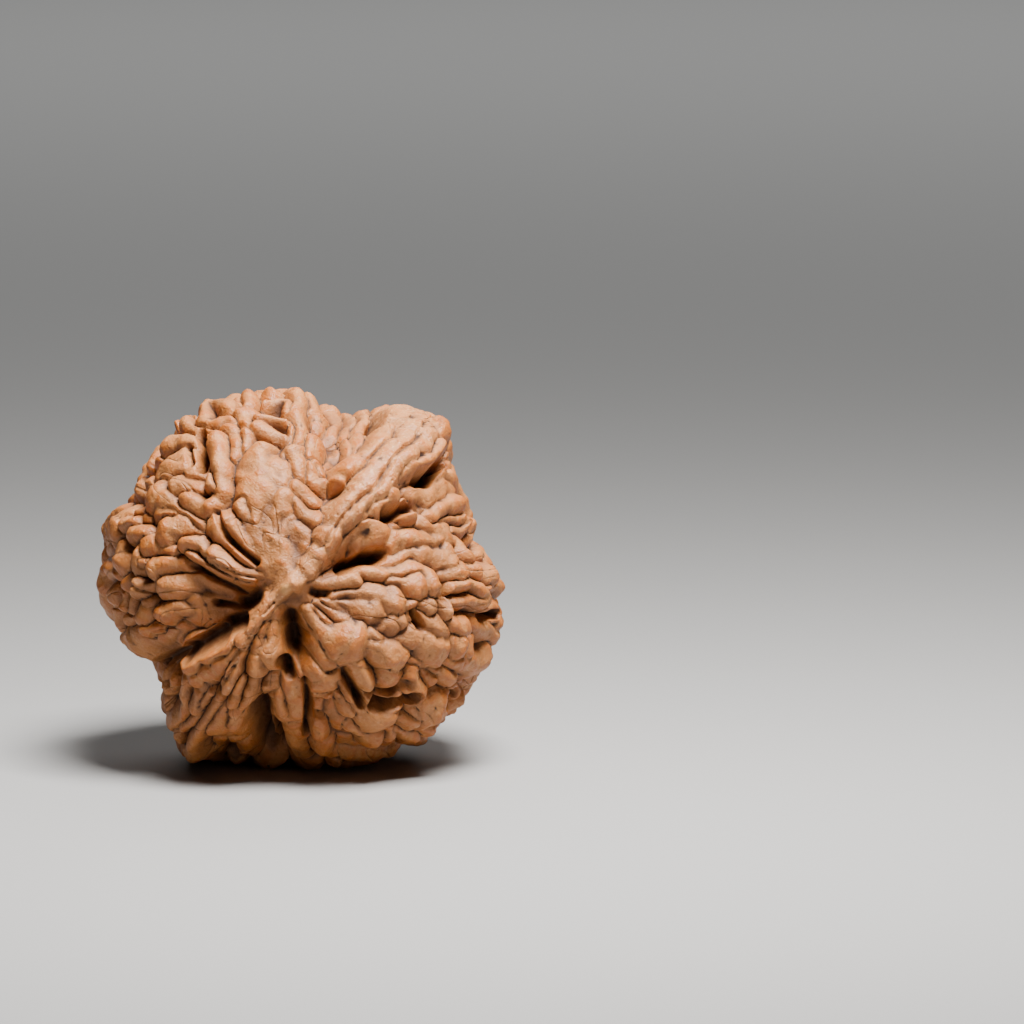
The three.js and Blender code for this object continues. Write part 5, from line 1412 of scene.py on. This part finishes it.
def set_attribute(mesh: bpy.types.Mesh, name: str, values: np.ndarray) -> None:
    """Stores one number for each vertex of a mesh under a name."""
    layer = mesh.attributes.new(name, "FLOAT", "POINT")
    layer.data.foreach_set("value", values.astype(np.float32))


class Wiring:
    """The nodes of one material."""

    def __init__(self, material: bpy.types.Material) -> None:
        """Starts from an empty material."""
        material.use_nodes = True
        self.tree = material.node_tree
        self.tree.nodes.clear()

    def node(self, kind: str, settings: dict[str, object] | None = None,
             inputs: dict[str | int, object] | None = None) -> bpy.types.Node:
        """Adds a node.

        Args:
            kind: its type.
            settings: what is set on the node itself, first.
            inputs: values or links of its sockets, by name or number.

        Returns:
            The node.
        """
        made = self.tree.nodes.new(kind)
        for name, value in (settings or {}).items():
            setattr(made, name, value)
        for name, value in (inputs or {}).items():
            if isinstance(value, Value):
                self.tree.links.new(value.socket, made.inputs[name])
            elif isinstance(value, bpy.types.NodeSocket):
                self.tree.links.new(value, made.inputs[name])
            elif made.inputs[name].type == "RGBA":
                made.inputs[name].default_value = (*value, 1)
            else:
                made.inputs[name].default_value = value
        return made

    def attribute(self, name: str) -> "Value":
        """A number stored on the mesh."""
        return Value(self, self.node("ShaderNodeAttribute", {"attribute_name": name}).outputs["Fac"])

    def placed(self, kind: str, size: float, inputs: dict[str, object]) -> bpy.types.Node:
        """A texture on Object coordinates, with features of some size in millimetres."""
        place = self.node("ShaderNodeTexCoord").outputs["Object"]
        return self.node(kind, None, {"Vector": place, "Scale": 1 / (size * MM), **inputs})

    def noise(self, patch: "Patch") -> "Value":
        """Patches between 0 and 1, and 0.5 on average."""
        inputs = {"Detail": patch.detail, "Distortion": patch.distortion}
        return Value(self, self.placed("ShaderNodeTexNoise", patch.size, inputs).outputs[0])

    def cells(self, size: float) -> "Value":
        """Distance to the middle of the nearest of many cells."""
        return Value(self, self.placed("ShaderNodeTexVoronoi", size, {}).outputs["Distance"])

    def mix(self, share: "Value", first: "Color | Value", second: "Color | Value") -> "Value":
        """A colour between two.

        Args:
            share: 0 for the first, 1 for the second.
            first: a colour.
            second: another.

        Returns:
            The colour between them.
        """
        settings = {"data_type": "RGBA", "clamp_factor": True}
        made = self.node("ShaderNodeMix", settings, {0: share, 6: first, 7: second})
        return Value(self, made.outputs[2])

    def surface(self, settings: dict[str, object], inputs: dict[str, object]) -> None:
        """Ends the material in one shader."""
        shader = self.node("ShaderNodeBsdfPrincipled", settings, inputs)
        self.node("ShaderNodeOutputMaterial", None, {"Surface": shader.outputs[0]})


@dataclass(frozen=True)
class Value:
    """A socket that the usual operators work on."""

    wiring: Wiring
    socket: bpy.types.NodeSocket

    def math(self, operation: str, *others: "Value | float") -> "Value":
        """The outcome of one Math node on this value and others."""
        return calculated(self.wiring, operation, (self, *others))

    def __add__(self, other: "Value | float") -> "Value":
        """Sum."""
        return self.math("ADD", other)

    __radd__ = __add__

    def __sub__(self, other: "Value | float") -> "Value":
        """Difference."""
        return self.math("SUBTRACT", other)

    def __rsub__(self, other: float) -> "Value":
        """Difference the other way round."""
        return calculated(self.wiring, "SUBTRACT", (other, self))

    def __mul__(self, other: "Value | float") -> "Value":
        """Product."""
        return self.math("MULTIPLY", other)

    __rmul__ = __mul__

    def or_more(self, other: "Value") -> "Value":
        """The greater of two."""
        return self.math("MAXIMUM", other)

    def ramp(self, ends: Pair) -> "Value":
        """Smooth step between two ends.

        Args:
            ends: where it is 0 and where it is 1.

        Returns:
            The step.
        """
        inputs = {"Value": self, "From Min": ends[0], "From Max": ends[1]}
        settings = {"interpolation_type": "SMOOTHSTEP"}
        return Value(self.wiring, self.wiring.node("ShaderNodeMapRange", settings, inputs).outputs[0])


def calculated(wiring: Wiring, operation: str, values: Sequence[Value | float]) -> Value:
    """Adds a Math node.

    Args:
        wiring: the material's nodes.
        operation: what the node does.
        values: its inputs, in order.

    Returns:
        Its outcome.
    """
    made = wiring.node("ShaderNodeMath", {"operation": operation}, dict(enumerate(values)))
    return Value(wiring, made.outputs[0])


@dataclass(frozen=True)
class Patch:
    """One noise of the finish, its size in millimetres."""

    size: float
    detail: float
    distortion: float = 0


@dataclass(frozen=True)
class Part:
    """A part that something plays: between which ends it rises, and how strong it is at most."""

    ends: Pair
    strength: float = 1


class Marks:
    """What the shell's finish goes by: the numbers stored on it, and patches of several sizes."""

    def __init__(self, wiring: Wiring, finish: "NutFinish") -> None:
        """Reads the stored numbers and lays the patches.

        Args:
            wiring: the material's nodes.
            finish: its measures.
        """
        self.wiring = wiring
        self.crease = wiring.attribute("crease")
        self.groove = wiring.attribute("groove")
        self.cavity = wiring.attribute("cavity")
        self.valley = wiring.attribute("valley")
        self.depth = wiring.attribute("depth")
        self.hollow = wiring.attribute("hollow")
        self.seam = wiring.attribute("seam")
        self.from_tip = wiring.attribute("from_tip")
        self.patches = wiring.noise(finish.patches)
        self.mottle = wiring.noise(finish.mottle)
        self.speckle = wiring.noise(finish.speckle)
        self.grain = wiring.noise(finish.grain)
        self.wrinkles = wiring.noise(finish.wrinkles)
        # Convex crest edges in patches, for the amber: partly the polished tone of worn edges, partly a
        # painted glow of light through the shell.
        crest_edge = (0.5 - self.cavity).ramp(finish.edge.ends)
        self.edge = crest_edge * (self.patches + finish.more_edge).ramp(finish.edge_patches)
        self.lines = self.vein("vein_0", finish.wide_vein).or_more(self.vein("vein_1", finish.fine_vein))
        self.lines = self.lines * wiring.attribute("vein_clear") * (self.mottle + finish.more_vein)

    def vein(self, name: str, line: Part) -> Value:
        """A thin line where a stored wave is nought."""
        return (1 - self.wiring.attribute(name).math("ABSOLUTE").ramp(line.ends)) * line.strength


@dataclass(frozen=True)
class NutFinish:
    """Dry, faintly waxy shell: tan on the crests, amber on the flanks, dark in the folds. The dark of the
    folds is painted shade, partly the shell's own stain; the crests' paler tone over the sunk ground is
    partly painted shade, and the amber is partly a painted glow of light through the shell.
    """

    name: str = "walnut_shell"
    # Crest for raised ground and body for sunk ground; the gap between them is partly the crests' own worn
    # tone, partly painted shade in the sunk ground.
    crest: Color = (0.38, 0.137, 0.029)
    body: Color = (0.17, 0.053, 0.009)
    # Amber of the convex edges: partly their polished tone, partly a painted glow of light through the
    # shell.
    amber: Color = (0.33, 0.083, 0.006)
    # Near-black for the painted shade of the folds, which the dark specks take too.
    crevice_shade: Color = (0.020, 0.006, 0.002)
    dust: Color = (0.52, 0.26, 0.125)
    nub: Color = (0.58, 0.30, 0.10)
    patches: Patch = Patch(5, 3)
    mottle: Patch = Patch(1.6, 4, 0.4)
    speckle: Patch = Patch(0.35, 3)
    grain: Patch = Patch(0.12, 2)
    wrinkles: Patch = Patch(0.55, 4, 0.8)
    high_ends: Pair = (0.3, 0.72)
    high_patches: float = 0.35
    high_mottle: float = 0.25
    edge: Part = Part((0.10, 0.34), 0.75)
    edge_patches: Pair = (0.4, 0.7)
    more_edge: float = 0.1
    clean_edge: float = 0.7
    crest_dust: Part = Part((0.52, 0.72), 0.35)
    seam_dust: Part = Part((0.56, 0.68), 0.4)
    least_dust: float = 0.10
    nub_part: Part = Part((0.012, 0.040), 0.6)
    # How strongly painted shade darkens the cavities, valleys, grooves, creases and hollows, partly
    # standing for the shell's own stain there.
    cavity_shade: Part = Part((0.10, 0.44), 0.7)
    valley_shade: Part = Part((-0.02, 0.26), 0.72)
    groove_shade: Part = Part((0.14, 0.7), 0.94)
    crease_shade: Part = Part((0.5, 1.0), 0.35)
    hollow_shade: Part = Part((0.35, 1.0), 0.45)
    speckle_dark: Part = Part((0.30, 0.42), 0.14)
    # How strongly painted shade darkens the fine veins.
    vein_shade: float = 0.42
    more_vein: float = 0.3
    wide_vein: Part = Part((0.0, 0.75))
    fine_vein: Part = Part((0.0, 0.55), 0.8)
    pit_size: float = 0.7
    pit_ends: Pair = (0.0, 0.35)
    pit_patches: Pair = (0.45, 0.65)
    pit_depth: float = 0.03
    seam_pit_depth: float = 0.08
    wrinkle_height: float = 0.13
    vein_height: float = 0.09
    speckle_height: float = 0.075
    grain_height: float = 0.03
    roughness: float = 0.46
    mottle_rough: float = 0.14
    dark_rough: float = 0.25
    speckle_rough: float = 0.06
    edge_smooth: float = 0.10
    subsurface: float = 0.08
    subsurface_reach: float = 0.9
    subsurface_spread: Color = (1.0, 0.42, 0.2)
    specular: float = 0.45

    def tanned(self, wiring: Wiring, marks: Marks) -> Value:
        """Colour of the shell before painted shade and dark specks darken it: tan, amber and dust.

        Args:
            wiring: the material's nodes.
            marks: what the finish goes by.

        Returns:
            The colour.
        """
        uneven = (marks.patches - 0.5) * self.high_patches
        # The less sunk the ground, the paler: partly the crests' worn tone, partly painted shade in the
        # sunk ground.
        high = marks.depth * -1 + 1 + uneven + (marks.mottle - 0.5) * self.high_mottle
        high = high.ramp(self.high_ends)
        color = wiring.mix(high, self.body, self.crest)
        # Amber on convex edges, partly a painted glow of light through the shell.
        color = wiring.mix(marks.edge * self.edge.strength, color, self.amber)
        on_crest = marks.speckle.ramp(self.crest_dust.ends) * self.crest_dust.strength + self.least_dust
        on_seam = marks.speckle.ramp(self.seam_dust.ends) * self.seam_dust.strength + self.least_dust
        dusty = on_crest * high * (1 - marks.edge * self.clean_edge) + marks.seam * on_seam
        color = wiring.mix(dusty, color, self.dust)
        nub = (1 - marks.from_tip.ramp(self.nub_part.ends)) * self.nub_part.strength
        return wiring.mix(nub, color, self.nub)

    def painted_shade_and_specks(self, marks: Marks) -> Value:
        """How dark the folds, grooves, hollows, creases and veins are: painted shade, partly the shell's
        own stain, with dark specks added.

        Args:
            marks: what the finish goes by.

        Returns:
            A share from 0 to 1.
        """
        # Painted shade: the further a vertex lies sunk under its neighbours, or in a crease, hollow or
        # vein, the darker.
        dark = (marks.cavity - 0.5).ramp(self.cavity_shade.ends) * self.cavity_shade.strength
        dark = dark.or_more((marks.valley - 0.5).ramp(self.valley_shade.ends) * self.valley_shade.strength)
        dark = dark.or_more(marks.groove.ramp(self.groove_shade.ends) * self.groove_shade.strength)
        creases = marks.crease.ramp(self.crease_shade.ends) * marks.mottle * self.crease_shade.strength
        dark = dark.or_more(creases)
        dark = dark.or_more(marks.hollow.ramp(self.hollow_shade.ends) * self.hollow_shade.strength)
        specks = (1 - marks.speckle.ramp(self.speckle_dark.ends)) * self.speckle_dark.strength
        return dark.or_more(marks.lines * self.vein_shade) + specks

    def relief(self, wiring: Wiring, marks: Marks) -> Value:
        """Height of the finest relief, in millimetres: wrinkles, veins, grain and pits.

        Args:
            wiring: the material's nodes.
            marks: what the finish goes by.

        Returns:
            The height.
        """
        pits = (1 - wiring.cells(self.pit_size).ramp(self.pit_ends)) * marks.mottle.ramp(self.pit_patches)
        height = marks.wrinkles * self.wrinkle_height - marks.lines * self.vein_height
        height = height + marks.speckle * self.speckle_height + marks.grain * self.grain_height
        return height - pits * (self.pit_depth + marks.seam * self.seam_pit_depth)

    def material(self) -> bpy.types.Material:
        """Makes the material.

        Returns:
            The material, ready to be given to the shell.
        """
        material = bpy.data.materials.new(self.name)
        wiring = Wiring(material)
        marks = Marks(wiring, self)
        dark = self.painted_shade_and_specks(marks)
        rough = self.roughness + marks.mottle * self.mottle_rough + dark * self.dark_rough
        rough = rough + marks.speckle * self.speckle_rough - marks.edge * self.edge_smooth
        height = self.relief(wiring, marks)
        bump = wiring.node("ShaderNodeBump", None, {"Strength": 1.0, "Distance": MM, "Height": height})
        wiring.surface({"subsurface_method": "RANDOM_WALK"}, {
            # Painted shade and dark specks take the colour towards the near-black crevice colour.
            "Base Color": wiring.mix(dark, self.tanned(wiring, marks), self.crevice_shade),
            "Roughness": rough,
            "Normal": bump.outputs[0],
            "Subsurface Weight": self.subsurface,
            "Subsurface Radius": self.subsurface_spread,
            "Subsurface Scale": self.subsurface_reach * MM,
            "Specular IOR Level": self.specular,
        })
        return material


@dataclass(frozen=True)
class FloorFinish:
    """Plain pale floor."""

    name: str = "pale_floor"
    color: Color = (0.32, 0.32, 0.315)
    roughness: float = 0.85

    def material(self) -> bpy.types.Material:
        """Makes the material.

        Returns:
            The material, ready to be given to the floor.
        """
        material = bpy.data.materials.new(self.name)
        Wiring(material).surface({}, {"Base Color": self.color, "Roughness": self.roughness})
        return material


@dataclass(frozen=True)
class SoftLight:
    """One soft square light, pointed at the nut or straight down. Lengths are in metres."""

    name: str
    place: tuple[float, float, float]
    size: float
    power: float
    color: Color = (1.0, 1.0, 1.0)
    down: bool = False


@dataclass
class Studio:
    """Floor, lights and camera. Lengths are in metres."""

    floor_radius: float = 4.0
    floor_sides: int = 96
    surround: Color = (0.80, 0.81, 0.82)
    surround_strength: float = 0.010
    lights: tuple[SoftLight, ...] = (
        SoftLight("key", (0.042, -0.062, 0.20), 0.085, 1.95, (1.0, 0.97, 0.95)),
        SoftLight("fill", (0.50, -0.55, 0.18), 0.40, 0.10, (0.97, 0.98, 1.0)),
        SoftLight("backdrop", (0.10, 1.30, 0.90), 1.40, 13.0, down=True),
    )
    elevation: float = 8.0
    distance: float = 0.600
    widest_behind_aim: float = 0.017
    field_width: float = 0.1059
    beside: float = 0.02273
    above: float = 0.00774
    tip: float = 0.0192
    sensor_mm: float = 36
    sight: float = 20

    def build(self, centre: Vector, tilt: float) -> None:
        """Sets everything up round the nut.

        Args:
            centre: the nut's own centre.
            tilt: how far its tip is turned up, in degrees.
        """
        self.lay_floor()
        for light in self.lights:
            self.hang(light, centre)
        world = bpy.data.worlds.new("surround")
        bpy.context.scene.world = world
        world.use_nodes = True
        background = world.node_tree.nodes["Background"]
        background.inputs["Color"].default_value = (*self.surround, 1)
        background.inputs["Strength"].default_value = self.surround_strength
        self.aim_camera(centre, tilt)

    def lay_floor(self) -> None:
        """Lays the floor, a wide round sheet."""
        bpy.ops.object.select_all(action="DESELECT")
        bpy.ops.mesh.primitive_circle_add(
            vertices=self.floor_sides, radius=self.floor_radius, fill_type="NGON")
        floor = bpy.context.object
        floor.name = floor.data.name = "floor"
        floor.data.materials.append(FloorFinish().material())
        log.info("floor: %.1f m across", 2 * self.floor_radius)

    def hang(self, light: SoftLight, centre: Vector) -> None:
        """Hangs one light.

        Args:
            light: its measures.
            centre: what it points at, unless it points down.
        """
        lamp = bpy.data.objects.new(light.name, bpy.data.lights.new(light.name, "AREA"))
        lamp.data.size = light.size
        lamp.data.energy = light.power
        lamp.data.color = light.color
        lamp.location = light.place
        lamp.rotation_mode = "QUATERNION"
        aim = Vector((0, 0, -1)) if light.down else centre - Vector(light.place)
        lamp.rotation_quaternion = aim.to_track_quat("-Z", "Y")
        bpy.context.collection.objects.link(lamp)
        log.info("light %s: %.1f W", light.name, light.power)

    def aim_camera(self, centre: Vector, tilt: float) -> None:
        """Points the camera straight at the tip, with the tip where the photograph has it.

        Args:
            centre: the nut's own centre.
            tilt: how far its tip is turned up, in degrees.
        """
        lift = math.radians(self.elevation)
        view = Vector((0, -math.cos(lift), math.sin(lift)))
        turn = (-view).to_track_quat("-Z", "Y")
        lean = math.radians(tilt)
        tip = centre + Vector((0, -math.cos(lean), math.sin(lean))) * self.tip
        aim = tip + turn @ Vector((self.beside, self.above, 0))
        camera = bpy.data.objects.new("camera", bpy.data.cameras.new("camera"))
        camera.data.sensor_width = self.sensor_mm
        camera.data.lens = self.sensor_mm * (self.distance + self.widest_behind_aim) / self.field_width
        camera.data.clip_end = self.sight
        camera.location = aim + view * self.distance
        camera.rotation_mode = "QUATERNION"
        camera.rotation_quaternion = turn
        bpy.context.collection.objects.link(camera)
        bpy.context.scene.camera = camera
        log.info("camera: %.0f mm lens", camera.data.lens)


def main() -> None:
    """Builds the nut and its studio."""
    shell = Shell()
    nut = shell.build()
    nut.data.materials.append(NutFinish().material())
    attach(nut, "root")
    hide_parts(NODE)
    Studio().build(Vector(shell.shift * MM), shell.body.tilt)


if __name__ == "__main__":
    main()
